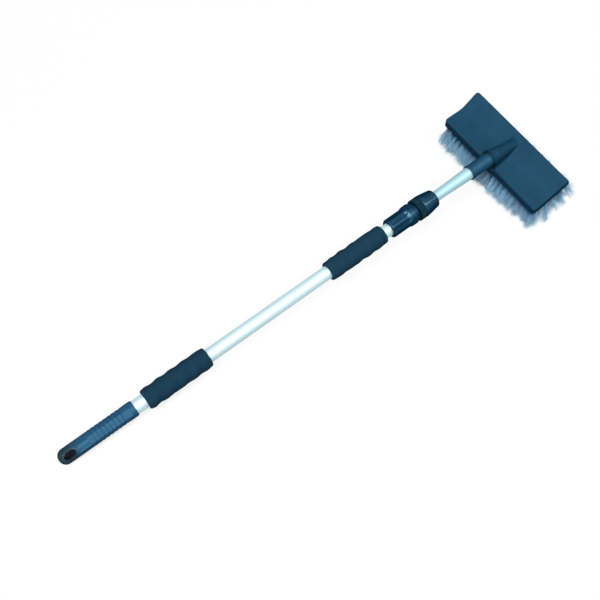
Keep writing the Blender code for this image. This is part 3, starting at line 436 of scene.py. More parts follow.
def plastic(name, group, colour, worn, roughness, grain=900.0, height=0.00004, wear=0.0, level=0.5,
            fade=(0.06, 0.25), end=None):
    """A moulded plastic of one colour, whose gloss fades towards its outline. A darker, greyer end is given
    as its colour and the two places along the pole between which it turns to the plain colour."""
    material, tree, shader = blank(name, SHEEN)
    facing = node(tree, 'ShaderNodeLayerWeight', Blend=0.5).outputs["Facing"]
    tree.links.new(spread(tree, facing, *fade, level, 0.0), shader.inputs["Specular IOR Level"])
    made = use_group(tree, shader, group, Colour=(*colour, 1), Worn_Colour=(*worn, 1), Grain_Scale=grain,
                     Grain_Height=height, Roughness=roughness, Wear=wear)
    if end:
        end_tone, x0, x1 = end
        place = own_place(tree)
        along = node(tree, 'ShaderNodeSeparateXYZ', in0=place).outputs[0]
        along = maths(tree, 'MULTIPLY_ADD', noise(tree, place, 180.0, 3.0), 0.008, along)
        plain_share = spread(tree, along, POLE_START[0] + x0 + 0.004, POLE_START[0] + x1 + 0.004)
        tree.links.new(between(tree, plain_share, (*end_tone, 1), (*colour, 1)), made.inputs["Colour"])
    return material


def aluminium(name, group, colour, dull, roughness):
    """A drawn aluminium tube's finish."""
    material, tree, shader = blank(name, TUBE_EDGE)
    shader.inputs["Metallic"].default_value = 1.0
    use_group(tree, shader, group, Colour=(*colour, 1), Dull_Colour=(*dull, 1), Roughness=roughness)
    return material


def foam_finish():
    """Closed-cell foam: small sunk pores with painted shade in their hollows and lighter rims, and a slow drift of
    tone.
    """
    material, tree, shader = blank("grip_foam", SHEEN)
    place = own_place(tree)
    cells = node(tree, 'ShaderNodeTexVoronoi', Vector=place, Scale=1150.0).outputs["Distance"]
    height = maths(tree, 'MULTIPLY_ADD', noise(tree, place, 2600.0, 3.0), 0.35, cells)
    # Painted shade: the colour is darker in each pore's sunk middle and lighter on its raised rim
    pit_shaded_colour = between(tree, spread(tree, cells, 0.25, 0.75), (0.007, 0.031, 0.060, 1), (0.015, 0.051, 0.089, 1))
    fade = spread(tree, noise(tree, place, 34.0, 4.0, 0.6), 0.35, 0.7, 0.0, 0.55)
    colour = between(tree, fade, pit_shaded_colour, (0.011, 0.046, 0.078, 1))
    bump = node(tree, 'ShaderNodeBump', Height=height, Distance=0.00025, Strength=0.8)
    tree.links.new(colour, shader.inputs["Base Color"])
    tree.links.new(bump.outputs[0], shader.inputs["Normal"])
    shader.inputs["Roughness"].default_value = 0.95
    shader.inputs["Specular IOR Level"].default_value = 0.04
    return material


def bristle_finish():
    """Flagged filament: its colour runs from a pale tip to a dark root, which is painted shade standing in for the
    shade of its neighbours, and differs from hair to hair.
    """
    material, tree, shader = blank("bristle_filament", (0.45, 0.80, 1.0, 1.0))
    along = node(tree, 'ShaderNodeAttribute', set_attribute_name="along").outputs["Fac"]
    tone = node(tree, 'ShaderNodeAttribute', set_attribute_name="tone").outputs["Fac"]
    # Painted shade: the ramp runs from a near-black root to a pale tip
    shades = node(tree, 'ShaderNodeValToRGB', Fac=along)
    stops = ((0.0, (0.006, 0.034, 0.080, 1)), (0.16, (0.095, 0.270, 0.470, 1)),
             (0.50, (0.250, 0.510, 0.740, 1)), (1.0, (0.400, 0.690, 0.890, 1)))
    shades.color_ramp.elements.new(0.16)
    shades.color_ramp.elements.new(0.50)
    for element, (place, colour) in zip(shades.color_ramp.elements, stops):
        element.position = place
        element.color = colour
    pale = between(tree, maths(tree, 'MULTIPLY', tone, along), shades.outputs[0], (0.66, 0.90, 1.00, 1))
    tree.links.new(pale, shader.inputs["Base Color"])
    tree.links.new(maths(tree, 'MULTIPLY_ADD', along, 0.2, 0.5), shader.inputs["Roughness"])
    shader.inputs["Specular IOR Level"].default_value = 0.15
    return material


# Outer section

def handle_shape(x, r, a):
    """Radius of the grip: rounded ribs ring it, and a flat pad stands on it, turned by the roll.
    The pad is a rounded rectangle, the sum of the twelfth powers of its two sides' shares, and
    its top has the same ribs and a sunk panel."""
    outside = r > 0.0132
    ribbed = ease((x - 0.0610) / 0.0012) * ease((0.1256 - x) / 0.0012)
    rib = np.abs(np.cos(math.pi * (x - 0.062) / 0.0078)) ** 0.45
    band = 0.0004 * ease((x - 0.1250) / 0.0016) * (1 - ease((x - 0.1400) / 0.0030))
    round_r = r + (0.0003 - 0.0010 * (1 - rib)) * ribbed + band
    up, out = np.sin(a - HANDLE_ROLL), np.abs(np.cos(a - HANDLE_ROLL))
    up = np.maximum(up, 0.05)
    panel = ease((x - 0.0345) / 0.0012) * (1 - ease((x - 0.0550) / 0.0012))
    panel = panel * (1 - ease((0.0141 * out / up - 0.0058) / 0.0010))
    height = 0.0143 - 0.0009 * (1 - rib) * ribbed - 0.0008 * panel + band
    pad = ((up / height) ** 12 + (out / 0.0080) ** 12) ** (-1 / 12)
    on = ease((x - 0.0322) / 0.0016) * (1 - ease((x - 0.1370) / 0.0016))
    raised = np.where(np.sin(a - HANDLE_ROLL) > 0.2, np.maximum(round_r, pad), round_r)
    return np.where(outside, round_r + (raised - round_r) * on, r)


def hang_hole_tool():
    """Slot cutter, turned by the roll: a stadium that grows by a quarter round at both faces."""
    z = np.concatenate((-0.017 + np.linspace(0, 0.0025, 3), np.linspace(-0.0140, -0.0120, 9),
                        np.linspace(-0.0118, 0.0118, 3), np.linspace(0.0120, 0.0140, 9),
                        0.0170 - np.linspace(0.0025, 0, 3)))
    depth = np.clip((np.abs(z) - 0.0118) / 0.0023, 0, 1)
    upper = np.where(z > 0, 1.0, 0.35)
    grow = 0.0019 * upper * (1 - np.sqrt(1 - depth ** 2))
    a = np.linspace(0, 2 * math.pi, 96, endpoint=False) + 0.01
    centre = HOLE_X + np.where(np.cos(a) > 0, HOLE_STRAIGHT, -HOLE_STRAIGHT)
    radius = HOLE_RADIUS + grow[:, None]
    x = centre[None, :] + radius * np.cos(a)
    y = radius * np.sin(a)
    z = np.repeat(z[:, None], len(a), 1)
    c, s = math.cos(HANDLE_ROLL), math.sin(HANDLE_ROLL)
    rings = to_row(np.stack((x, y * c - z * s, y * s + z * c), -1))
    return ring_surface("hang_hole_tool", rings, None, (), None)


def make_end_handle(material):
    """Grip: an egg-round end, ribs, a flat pad, a rounded mouth, a tube socket and a hang hole.
    Its columns stand closer near the pad's two edges."""
    edges = [HANDLE_ROLL + math.pi / 2 + e * math.radians(29.5) for e in (-1, 1)]
    close = np.concatenate([e + np.radians(np.linspace(-5, 5, 17)) for e in edges])
    angles = np.sort(np.unique(np.concatenate((np.linspace(0, 2 * math.pi, 96, endpoint=False), close))))
    profile = np.vstack((
        (0.0, TINY), arc(0.013, 0.0011, 0.013, 179.5, 90, 26),
        line(0.014, HANDLE_RADIUS, 0.1425, HANDLE_RADIUS, 514), arc(0.1437, 0.0128, 0.0013, 90, 0, 6),
        line(HANDLE_LENGTH, 0.0126, HANDLE_LENGTH, HANDLE_BORE),
        line(0.1446, HANDLE_BORE, HANDLE_SOLID, HANDLE_BORE, 4), (HANDLE_SOLID, TINY)))
    rings = turned(profile, shape=handle_shape, angles=angles)
    item = ring_surface("end_handle_grip", rings, "outer_pole", ("end_handle",), material)
    cut(item, hang_hole_tool())
    return item


def make_outer_tube(material):
    """Outer tube, whose ends lie inside the handle and the lock."""
    x0, x1 = HANDLE_SOLID + GAP, SLEEVE_X + 0.044 - GAP
    profile = np.vstack((line(x0, OUTER_TUBE_RADIUS, x1, OUTER_TUBE_RADIUS, 40),
                         line(x1, OUTER_TUBE_BORE, x0, OUTER_TUBE_BORE, 4)))
    return ring_surface("outer_tube_skin", turned(profile, 96), "outer_pole", ("outer_tube",),
                        material, loop=True)


def make_foam(name, x0, node_name, seed, material):
    """Foam sleeve: rounded ends, and slow waves of a few sines on its radius."""
    rng = np.random.default_rng(seed)
    waves = [(rng.uniform(8, 26), rng.integers(1, 3), rng.uniform(0, 6.28), rng.uniform(0.00018, 0.00036))
             for _ in range(7)]

    def shape(x, r, a):
        body = ease((x - x0) / 0.012) * ease((x0 + FOAM_LENGTH - x) / 0.012)
        wave = sum(h * np.sin(f * 6.28 * (x - x0) / 0.5 + n * a + p) for f, n, p, h in waves)
        return np.where(r > 0.0135, r + (0.0008 + wave) * body, r)

    x1 = x0 + FOAM_LENGTH
    profile = np.vstack((
        arc(x0 + 0.0024, 0.0156, 0.0024, 180, 90, 8),
        line(x0 + 0.0034, FOAM_RADIUS, x1 - 0.0034, FOAM_RADIUS, 90),
        arc(x1 - 0.0024, 0.0156, 0.0024, 90, 0, 8), line(x1, 0.0138, x1, 0.0130),
        line(x1 - 0.0006, 0.0127, x0 + 0.0006, 0.0127, 6), line(x0, 0.0130, x0, 0.0138)))
    rings = turned(profile, 112, shape)
    item = ring_surface(name, rings, "outer_pole", (node_name,), material, loop=True)
    return item


def sleeve_shape(x, r, a):
    """Eight wide flutes along the sleeve, each ending in an arch under the flare."""
    lobe = 0.5 + 0.5 * np.cos(8 * a)
    end = SLEEVE_X + 0.0375 + 0.0045 * lobe
    fade = ease((end - x) / 0.004)
    start = ease((x - SLEEVE_X - 0.0006) / 0.003)
    return np.where(r > 0.0150, r - 0.00125 * lobe ** 0.8 * fade * (0.45 + 0.55 * start), r)


def make_lock_sleeve(material):
    """Base of the twist lock: fluted body, flare with a collar, nose and screw spigot."""
    s = SLEEVE_X
    spigot = []
    for k in range(3):
        x = s + 0.0615 + 0.0045 * k
        spigot += [(x, 0.0139), (x + 0.0008, 0.0146), (x + 0.0018, 0.0146), (x + 0.0026, 0.0139)]
    t = np.linspace(0, 1, 12)
    flare = np.stack((s + 0.036 + 0.009 * t, SLEEVE_RADIUS + 0.0020 * ease(t)), -1)
    profile = np.vstack((
        arc(s + 0.0026, 0.0159, 0.0026, 180, 90, 8),
        line(s + 0.0036, SLEEVE_RADIUS, s + 0.035, SLEEVE_RADIUS, 60), flare,
        line(s + 0.0455, FLARE_RADIUS, s + 0.0535, FLARE_RADIUS, 3),
        arc(s + 0.0545, 0.0194, 0.0012, 80, 10, 4), line(s + 0.0563, 0.0188, s + 0.0590, 0.0187),
        arc(s + 0.0590, 0.0177, 0.0010, 80, 0, 4), line(s + SLEEVE_LENGTH, 0.0160, s + SLEEVE_LENGTH, 0.0141),
        np.array(spigot), line(s + 0.0757, 0.0140, s + 0.076, 0.0136),
        line(s + 0.076, 0.0108, s + 0.0757, LOCK_BORE),
        line(s + 0.046, LOCK_BORE, s + 0.044, LOCK_BORE),
        line(s + 0.044, 0.0128, s + 0.001, 0.0128, 4), line(s + 0.0003, 0.0131, s, 0.0136)))
    return ring_surface("lock_sleeve_body", turned(profile, 192, sleeve_shape), "outer_pole",
                        ("lock_sleeve",), material, loop=True)


def nut_shape(x, r, a):
    """Short ribs on the nut's rear band and four shallow finger scoops on its barrel."""
    band = ease((x - NUT_X - 0.0004) / 0.0010) * ease((NUT_X + 0.0112 - x) / 0.0010)
    rib = 0.0015 * (0.5 - 0.5 * np.clip(1.6 * np.cos(24 * a), -1, 1)) * band
    scoop = 0.00035 * (0.5 + 0.5 * np.cos(4 * a))
    scoop = scoop * ease((x - NUT_X - 0.016) / 0.008) * ease((NUT_X + 0.043 - x) / 0.01)
    return np.where(r > 0.0155, r - rib - scoop, r)


def make_lock_nut(material, dull):
    """Lock nut: dull ribbed band, groove, domed barrel, round front and a screw bore with its cone."""
    s = NUT_X
    t = np.linspace(0, 1, 34)
    barrel = np.stack((s + 0.0139 + 0.0290 * t, NUT_RADIUS - 0.0040 * t ** 2 * (3 - t) / 2), -1)
    profile = np.vstack((
        (s, 0.0186), arc(s + 0.0008, 0.0208, 0.0008, 180, 90, 4), line(s + 0.0018, 0.0216, s + 0.0108, 0.0216, 12),
        arc(s + 0.0109, 0.0208, 0.0008, 80, 0, 4), line(s + 0.0119, 0.0201, s + 0.0131, 0.0201),
        arc(s + 0.0139, 0.0209, 0.0008, 180, 110, 4), barrel, arc(s + 0.0430, 0.0144, 0.0034, 84, 0, 12),
        line(s + NUT_LENGTH, 0.0118, s + 0.0461, 0.0108),
        line(s + 0.0445, LOCK_BORE, s + 0.0321, LOCK_BORE, 2),
        line(s + 0.0321, 0.0121, s + 0.0128, 0.0132, 3), line(s + 0.0128, 0.0149, s + 0.0006, 0.0149, 3),
        (s, 0.0154)))
    item = ring_surface("lock_nut_barrel", turned(profile, 208, nut_shape), "lock_ring",
                        ("lock_nut",), material, loop=True)
    centre = np.empty(3 * len(item.data.polygons), np.float32)
    item.data.polygons.foreach_get("center", centre)
    second_finish(item, dull, (centre.reshape(-1, 3) - POLE_START) @ ALONG < s + BAND_LENGTH)
    return item


# Inner section

def make_inner_tube(material):
    """Inner tube: straight, then widening smoothly to the neck."""
    x0, x1 = 0.217, NECK_X + 0.028 - GAP
    t = np.linspace(0, 1, 40)
    flare_x = 0.821 + (NECK_X - 0.821) * t
    flare = INNER_TUBE_RADIUS + 0.0020 * (0.35 * t + 0.65 * ease(t))
    outside = np.vstack((line(x0 + 0.0002, INNER_TUBE_RADIUS, 0.819, INNER_TUBE_RADIUS, 30),
                         np.stack((flare_x, flare), -1),
                         line(NECK_X + 0.004, NECK_TUBE_RADIUS, x1, NECK_TUBE_RADIUS, 2)))
    inside = outside[::-3] - np.array((0.0, TUBE_WALL))
    return ring_surface("inner_tube_skin", turned(np.vstack((outside, inside)), 96), "inner_pole",
                        ("inner_tube",), material, loop=True)


def make_neck(material):
    """Neck sleeve: a rolled rim over the tube, a slightly tapered body and the head's screw."""
    s = NECK_X
    screw = []
    for k in range(4):
        x = MOUTH_X + 0.0016 + 0.0040 * k
        screw += [(x, 0.0101), (x + 0.0008, 0.0108), (x + 0.0016, 0.0108), (x + 0.0024, 0.0101)]
    profile = np.vstack((
        (s, 0.0127), (s, 0.0133), arc(s + 0.0011, 0.0137, 0.0011, 180, 90, 6),
        line(s + 0.0016, 0.0148, s + 0.0032, 0.0147, 2), arc(s + 0.0046, 0.0151, 0.0013, 200, 268, 5),
        line(s + 0.0056, 0.0138, s + 0.050, 0.0137, 10), arc(s + 0.0522, 0.0127, 0.0010, 90, 10, 4),
        line(MOUTH_X - GAP, 0.0120, MOUTH_X - GAP, 0.0103), np.array(screw),
        line(MOUTH_X + 0.0186, 0.0098, MOUTH_X + 0.019, 0.0094),
        line(MOUTH_X + 0.019, 0.0070, s + 0.028, 0.0070, 2), line(s + 0.028, 0.0126, s + 0.002, 0.0126, 2)))
    return ring_surface("neck_sleeve_body", turned(profile, 112), "inner_pole", ("neck_sleeve",),
                        material, loop=True)


# Head

def crown(s):
    """Height and its slope across the head at s from the middle: a hyperbola-like V."""
    root = np.sqrt(s ** 2 + VALLEY_SOFTNESS ** 2)
    edge = math.sqrt((HEAD_WIDTH / 2) ** 2 + VALLEY_SOFTNESS ** 2)
    return WING_SLOPE * (root - edge), WING_SLOPE * s / root


def head_surface(s, y, depth):
    """Pole-frame point under plan place (s, y): the crown's point less its normal times depth."""
    n, slope = crown(s)
    length = np.sqrt(1 + slope ** 2)
    w = HEAD_WIDTH / 2 + s + depth * slope / length
    return head_to_pole(w, y, n - depth / length)


def head_outline(columns=460):
    """Plan outline of the head with rounded corners and hollow ends, and its outward normals."""
    half_w, half_l, r = HEAD_WIDTH / 2, HEAD_LENGTH / 2, CORNER_ROUND
    a, b = half_w - r, half_l - r
    long_n, short_n, turn_n = columns * 3 // 10, columns // 6, columns // 4 - columns * 3 // 20 - columns // 12
    parts = []
    for k, (cs, cy) in enumerate(((1, 1), (-1, 1), (-1, -1), (1, -1))):
        angle = math.pi / 2 * k + np.linspace(0, math.pi / 2, turn_n, endpoint=False)
        parts.append(np.stack((cs * a + r * np.cos(angle), cy * b + r * np.sin(angle),
                               np.cos(angle), np.sin(angle)), -1))
        stop = math.pi / 2 * (k + 1)
        nx, ny = math.cos(stop), math.sin(stop)
        here = np.array((cs * a + r * nx, cy * b + r * ny))
        after = ((-1, 1), (-1, -1), (1, -1), (1, 1))[k]
        there = np.array((after[0] * a + r * nx, after[1] * b + r * ny))
        count = short_n if k % 2 == 0 else long_n
        t = np.linspace(0, 1, count, endpoint=False)[:, None]
        spots = here + t * (there - here)
        parts.append(np.hstack((spots, np.broadcast_to((nx, ny), spots.shape))))
    return np.vstack(parts)


def head_ring(outline, inset, depth, scale=1.0):
    """The outline drawn in by inset, scaled about the middle, at a depth under the crown. The
    near edge bulges towards the socket by a quarter ellipse on each side."""
    s = (outline[:, 0] - inset * outline[:, 2]) * scale
    y = (outline[:, 1] - inset * outline[:, 3]) * scale
    near = np.clip((BUMP_REACH - np.abs(y)) / (BUMP_REACH - BUMP_FLAT), 0, 1)
    bump = EDGE_BUMP * (1 - np.sqrt(1 - near ** 2))
    s = s - bump * np.clip(-2 * s / HEAD_WIDTH, 0, 1) ** 6
    hollow = np.maximum(0, 1 - np.abs(2 * s / HEAD_WIDTH)) * np.abs(2 * y / HEAD_LENGTH) ** 6
    return head_surface(s, y - np.sign(y) * END_HOLLOW * hollow, depth)


def make_head_shell(material):
    """Head shell: rings over the crown, round the edge, down the skirt, under its rim, up
    inside and across beneath the plate."""
    outline = head_outline()
    rings = [head_ring(outline, EDGE_ROUND, 0.0, k) for k in np.linspace(0.004, 1, 64)]
    for t in np.linspace(0, math.pi / 2, 9)[1:]:
        rings.append(head_ring(outline, EDGE_ROUND * (1 - math.sin(t)), EDGE_ROUND * (1 - math.cos(t))))
    for depth in np.linspace(EDGE_ROUND + 0.001, HEAD_DEPTH - 0.001, 12):
        rings.append(head_ring(outline, 0.0, depth))
    for inset, depth in ((0.0001, HEAD_DEPTH - 0.0005), (0.0005, HEAD_DEPTH - 0.0001), (0.0010, HEAD_DEPTH),
                         (0.0022, HEAD_DEPTH), (0.0027, HEAD_DEPTH - 0.0002), (0.0030, HEAD_DEPTH - 0.0008),
                         (0.0030, 0.014), (0.0030, 0.0091)):
        rings.append(head_ring(outline, inset, depth))
    rings += [head_ring(outline, 0.0030, 0.0090, k) for k in np.linspace(0.98, 0.004, 12)]
    return ring_surface("head_shell", to_row(np.array(rings)), "inner_pole", ("head_cover",),
                        material, sharp=math.radians(50))


def crown_height(x):
    """Pole-frame height of the crown over pole place x, from the crown's own curve."""
    s = np.linspace(-HEAD_WIDTH / 2 - 0.011, HEAD_WIDTH / 2, 400)
    curve = head_surface(s, 0.0, 0.0)
    return np.interp(x, curve[:, 0], curve[:, 2])


def make_head_boss(material, dark):
    """Socket boss: a round collar with a recessed mouth, then at each place along the pole an
    arch on hollow feet that run into the crown. It narrows and fades into the far wing: its rise
    is the soft maximum w ln(1 + exp(h / w)) of its height h over the crown and zero. The foot
    is a quarter ellipse and the arch half of one; behind the mouth the circle's lower half turns
    into the feet."""
    reach = 0.0800
    d = np.concatenate((np.array((-0.0026, -0.0020, -0.0010)), np.linspace(0.0, 0.012, 25),
                        np.linspace(0.0130, reach, 68)))
    x = MOUTH_X + d
    lip = 0.0012 * (1 - np.sqrt(np.clip((d + 0.0026) / 0.0014, 0, 1)))
    collar = 1 - ease((d - 0.0040) / 0.0030)
    share = np.clip((d - 0.014) / 0.062, 0, 1.1)
    top = 0.0144 + 0.0026 * collar - 0.0186 * share - lip
    half = 0.0138 + 0.0032 * collar - 0.0050 * ease(share) - lip
    base = crown_height(x)
    rise = 0.0016 * np.log1p(np.exp((top - base) / 0.0016))
    top = base + rise
    low = 1 - ease(rise / 0.012)
    foot_y = 0.0062 - 0.0022 * low
    foot_z = np.minimum(0.0065, 0.45 * rise)
    arch = np.minimum(half, (rise - foot_z) * 0.99)
    turn = ease((d - 0.0010) / 0.0080)
    h, fy, fz, r, z0, z1, q = (v[:, None] for v in (half, foot_y, foot_z, arch, base, top, turn))
    b = np.linspace(0.06, math.pi / 2, 15)[None, :]
    a = np.linspace(0, math.pi, 49)[None, 1:-1]
    right_y = q * (h + fy * (1 - np.sin(b))) + (1 - q) * h * np.sin(b)
    right_z = q * (z0 + fz * (1 - np.cos(b))) + (1 - q) * (z1 - r - r * np.cos(b))
    over_y, over_z = h * np.cos(a), z1 - r + r * np.sin(a)
    spread = q * (h + fy) + (1 - q) * 0.05 * h
    under_y = np.hstack((-spread, -spread / 2, spread / 2, spread))
    under_z = np.repeat(q * (z0 - 0.0012) + (1 - q) * (z1 - 2 * r), 4, 1)
    y = np.hstack((right_y, over_y, -right_y[:, ::-1], under_y))
    z = np.hstack((right_z, over_z, right_z[:, ::-1], under_z))
    outer = np.stack((np.repeat(x[:, None], y.shape[1], 1), y, z), -1)
    angle = np.arctan2(z[0], y[0])[None, :]
    places = np.array(((0.0193, 0.0111), (0.0001, 0.0111), (0.0001, 0.0145), (-0.0012, 0.0145),
                       (-0.0022, 0.0147), (-0.0028, 0.0151), (-0.0029, 0.0155)))
    inner = np.stack((np.repeat(MOUTH_X + places[:, :1], y.shape[1], 1), places[:, 1:] * np.cos(angle),
                      places[:, 1:] * np.sin(angle)), -1)
    item = ring_surface("head_boss", to_row(np.concatenate((inner, outer))), "inner_pole", ("head_cover",),
                        material, sharp=math.radians(40))
    # Painted shade: the socket's bore, its recessed mouth and the front 2 mm of the collar take the dark second
    # finish, for the shade in the recess
    mouth_rings = len(places) + int(np.sum(d < 0.0016))
    second_finish(item, dark, np.arange(len(item.data.polygons)) < mouth_rings * y.shape[1])
    return item


# Bristles

def wing_point(u, depth, far):
    """Head-frame w and n at u along a wing from its edge, depth below its top."""
    w = u * math.cos(WING_ANGLE) - depth * math.sin(WING_ANGLE)
    n = -u * math.sin(WING_ANGLE) - depth * math.cos(WING_ANGLE)
    return np.array((HEAD_WIDTH - w if far else w, n))


def row_strip(row):
    """Corners of a row's backing strip, as in the solids: two above, two below."""
    depth, face, skirt = 0.0133, 0.0193, 0.003
    length = (HEAD_WIDTH / 2 + depth * math.sin(WING_ANGLE)) / math.cos(WING_ANGLE)
    width = (length - skirt - 2 * GAP) / (ROWS // 2)
    far = row >= ROWS // 2
    start = skirt + GAP + (ROWS - 1 - row if far else row) * width
    return [wing_point(u, d, far) for d in (depth, face) for u in (start, start + width - GAP)]


def strip_mesh(corners, half):
    """The strip's eight corners and six faces."""
    (a, b, c, d) = corners
    points = np.array([head_to_pole(p[0], y, p[1]) for p in (a, b, d, c) for y in (-half, half)])
    faces = [[0, 2, 3, 1], [2, 4, 5, 3], [4, 6, 7, 5], [6, 0, 1, 7], [0, 6, 4, 2], [1, 3, 5, 7]]
    if volume(points - points.mean(0), np.array(faces)) < 0:
        faces = [f[::-1] for f in faces]
    return points, faces


def hair_lines(row, centres, rng):
    """Middle lines of a row's hairs. Each starts inside its tuft's round root and runs along the
    tuft's lean; its offset from the tuft's middle widens fast at the root and again at the tip,
    with a stray and a small crimp of its own. The hairs of a tuft draw together in locks. Past a
    limit at the head's ends the reach levels off as a hyperbolic tangent."""
    total = len(centres) * HAIRS_IN_TUFT
    t = np.array(HAIR_STATIONS)[None, :]
    corners = row_strip(row)
    root = (corners[2] + corners[3]) / 2
    y0 = np.repeat(centres, HAIRS_IN_TUFT)
    place = centres / np.abs(centres).max()
    lean = NEAR_LEAN + (FAR_LEAN - NEAR_LEAN) * row / (ROWS - 1)
    lean = lean + CORNER_LEAN * ease((-0.2 - place) / 0.8) * max(0.0, 1.5 - row)
    tuft_lean = np.repeat(rng.normal(0, 0.020, len(centres)) + lean, HAIRS_IN_TUFT)
    tilt = np.where(place > 0, LEFT_TILT, RIGHT_TILT - math.radians(7.0) * (row < 1)) * place
    tilt = np.repeat(tilt * (0.6 + 0.4 * np.abs(place)) + rng.normal(0, 0.024, len(centres)), HAIRS_IN_TUFT)
    lock = rng.uniform(0, 1, (2, len(centres) * LOCKS_IN_TUFT))
    lock_y = np.sqrt(lock[0]) * np.sin(6.2832 * lock[1])
    lock_w = np.sqrt(lock[0]) * np.cos(6.2832 * lock[1])
    member = np.repeat(np.arange(len(lock_y)), HAIRS_IN_TUFT // LOCKS_IN_TUFT)
    own = rng.normal(0, 0.5, (2, total))
    gather = ease((t - 0.15) / 0.5)
    near_w = (1 - gather) * own[0][:, None] + gather * (lock_w[member] + 0.50 * own[0])[:, None]
    near_y = (1 - gather) * own[1][:, None] + gather * (lock_y[member] + 0.50 * own[1])[:, None]
    wide = 1 - np.exp(-6 * t)
    wide_w = 0.0024 + 0.0018 * wide + 0.0092 * t ** 1.5
    wide_y = 0.0018 + 0.0010 * wide + 0.0080 * t ** 2.6
    loose = np.where(rng.uniform(0, 1, total) < 0.10, 3.0, 1.0)
    stray = rng.normal(0, 0.0012, (2, total)) * loose
    crimp = rng.normal(0, 0.00045, (2, total, t.shape[1])) * ease((t - 0.4) / 0.5)
    side = near_w * wide_w + stray[0][:, None] * t ** 2 + crimp[0]
    slip = near_y * wide_y + stray[1][:, None] * t ** 2 + crimp[1]
    length = BRISTLE_LENGTH * (1 + rng.normal(0, 0.030, total) + rng.normal(0, 0.022, len(lock_y))[member])
    run = length[:, None] * t
    sin_lean, cos_lean = np.sin(tuft_lean)[:, None], np.cos(tuft_lean)[:, None]
    drop = run * np.cos(tilt)[:, None]
    w = root[0] + sin_lean * drop + cos_lean * side
    n = root[1] - cos_lean * drop + sin_lean * side
    y = y0[:, None] + run * np.sin(tilt)[:, None] + slip
    past = np.maximum(np.abs(y) - END_LIMIT, 0.0)
    y = y - np.sign(y) * (past - END_SOFTNESS * np.tanh(past / END_SOFTNESS))
    return to_row(head_to_pole(w, y, n))


def make_bristle_row(row, hair, block):
    """One row of tufts on its backing strip. Every hair is a three-sided taper round its middle
    line; one that would pass the floor is drawn back along itself to end on it."""
    rng = np.random.default_rng(100 + row)
    half = HEAD_LENGTH / 2 - END_HOLLOW - ROW_MARGIN
    pitch = 2 * half / TUFTS_IN_LONG_ROW
    tufts = TUFTS_IN_LONG_ROW - row % 2
    centres = -half + pitch * (0.5 * (row % 2) + 0.5 + np.arange(tufts))
    spine = hair_lines(row, centres, rng)
    total, rings = spine.shape[:2]
    t = np.array(HAIR_STATIONS)[None, :]
    low, top = spine[:, -1, 2], spine[:, 0, 2]
    keep = np.where(low < HAIR_REST, (top - HAIR_REST) / (top - low), 1.0)
    spine = spine[:, :1] + (spine - spine[:, :1]) * keep[:, None, None]
    thick = HAIR_RADIUS * (1 - 0.55 * t ** 2) * (1 + rng.normal(0, 0.08, (total, 1)))
    thirds = np.arange(3)[None, None, :] * 2 * math.pi / 3
    turn = rng.uniform(0, 2 * math.pi, total)[:, None, None] + thirds
    ring = np.cos(turn)[..., None] * ALONG + np.sin(turn)[..., None] * SIDE
    points = spine[:, :, None, :] + thick[:, :, None, None] * ring
    count = rings * 3
    quads = grid_faces(rings, 3)
    caps = np.array(((2, 1, 0), (count - 3, count - 2, count - 1)))
    sample = points[0].reshape(-1, 3)
    if volume(sample - sample.mean(0), quads) < 0:
        quads, caps = quads[:, ::-1], caps[:, ::-1]
    first = (np.arange(total) * count)[:, None, None]
    quads = (first + quads[None]).reshape(-1, 4)
    caps = (first + caps[None]).reshape(-1, 3)
    back, back_faces = strip_mesh(row_strip(row), half)
    points = points.reshape(-1, 3)
    faces = quads.tolist() + caps.tolist() + [[len(points) + v for v in f] for f in back_faces]
    everything = np.vstack((points, to_row(back)))
    item = finish_mesh(f"bristles_{row + 1}", everything, faces, "inner_pole", (f"bristle_row_{row + 1}",),
                       hair)
    second_finish(item, block, np.arange(len(faces)) >= len(faces) - len(back_faces))
    # Painted shade: each hair is painted dark from its root over its row's share, less in the tufts at the head's
    # ends; the along attribute carries it to the material
    end = ease((np.abs(centres) / np.abs(centres).max() - 0.84) / 0.10)
    painted_shade_share = ROW_PAINTED_SHADE[row] + (EDGE_PAINTED_SHADE - ROW_PAINTED_SHADE[row]) * end
    painted_shade_share = np.repeat(painted_shade_share, HAIRS_IN_TUFT)[:, None]
    shade = np.clip((t - painted_shade_share) / (1 - painted_shade_share), 0, 1)
    along = np.zeros(len(everything), np.float32)
    along[:len(points)] = np.broadcast_to(shade[:, :, None], (total, rings, 3)).reshape(-1)
    tone = np.zeros(len(everything), np.float32)
    shades = np.repeat(rng.normal(0.24, 0.24, tufts * LOCKS_IN_TUFT), HAIRS_IN_TUFT // LOCKS_IN_TUFT)
    tone[:len(points)] = np.repeat(np.clip(shades + rng.normal(0, 0.08, total), 0, 1), count)
    for label, values in (("along", along), ("tone", tone)):
        item.data.attributes.new(label, 'FLOAT', 'POINT').data.foreach_set("value", values)
    return item


# Surroundings

def seen_directly(tree):
    """1 for rays of the camera, gloss and glass, which show the pale background; and the camera's."""
    path = tree.nodes.new('ShaderNodeLightPath')
    seen = maths(tree, 'MAXIMUM', path.outputs["Is Camera Ray"], path.outputs["Is Glossy Ray"])
    return maths(tree, 'MAXIMUM', seen, path.outputs["Is Transmission Ray"]), path.outputs["Is Camera Ray"]


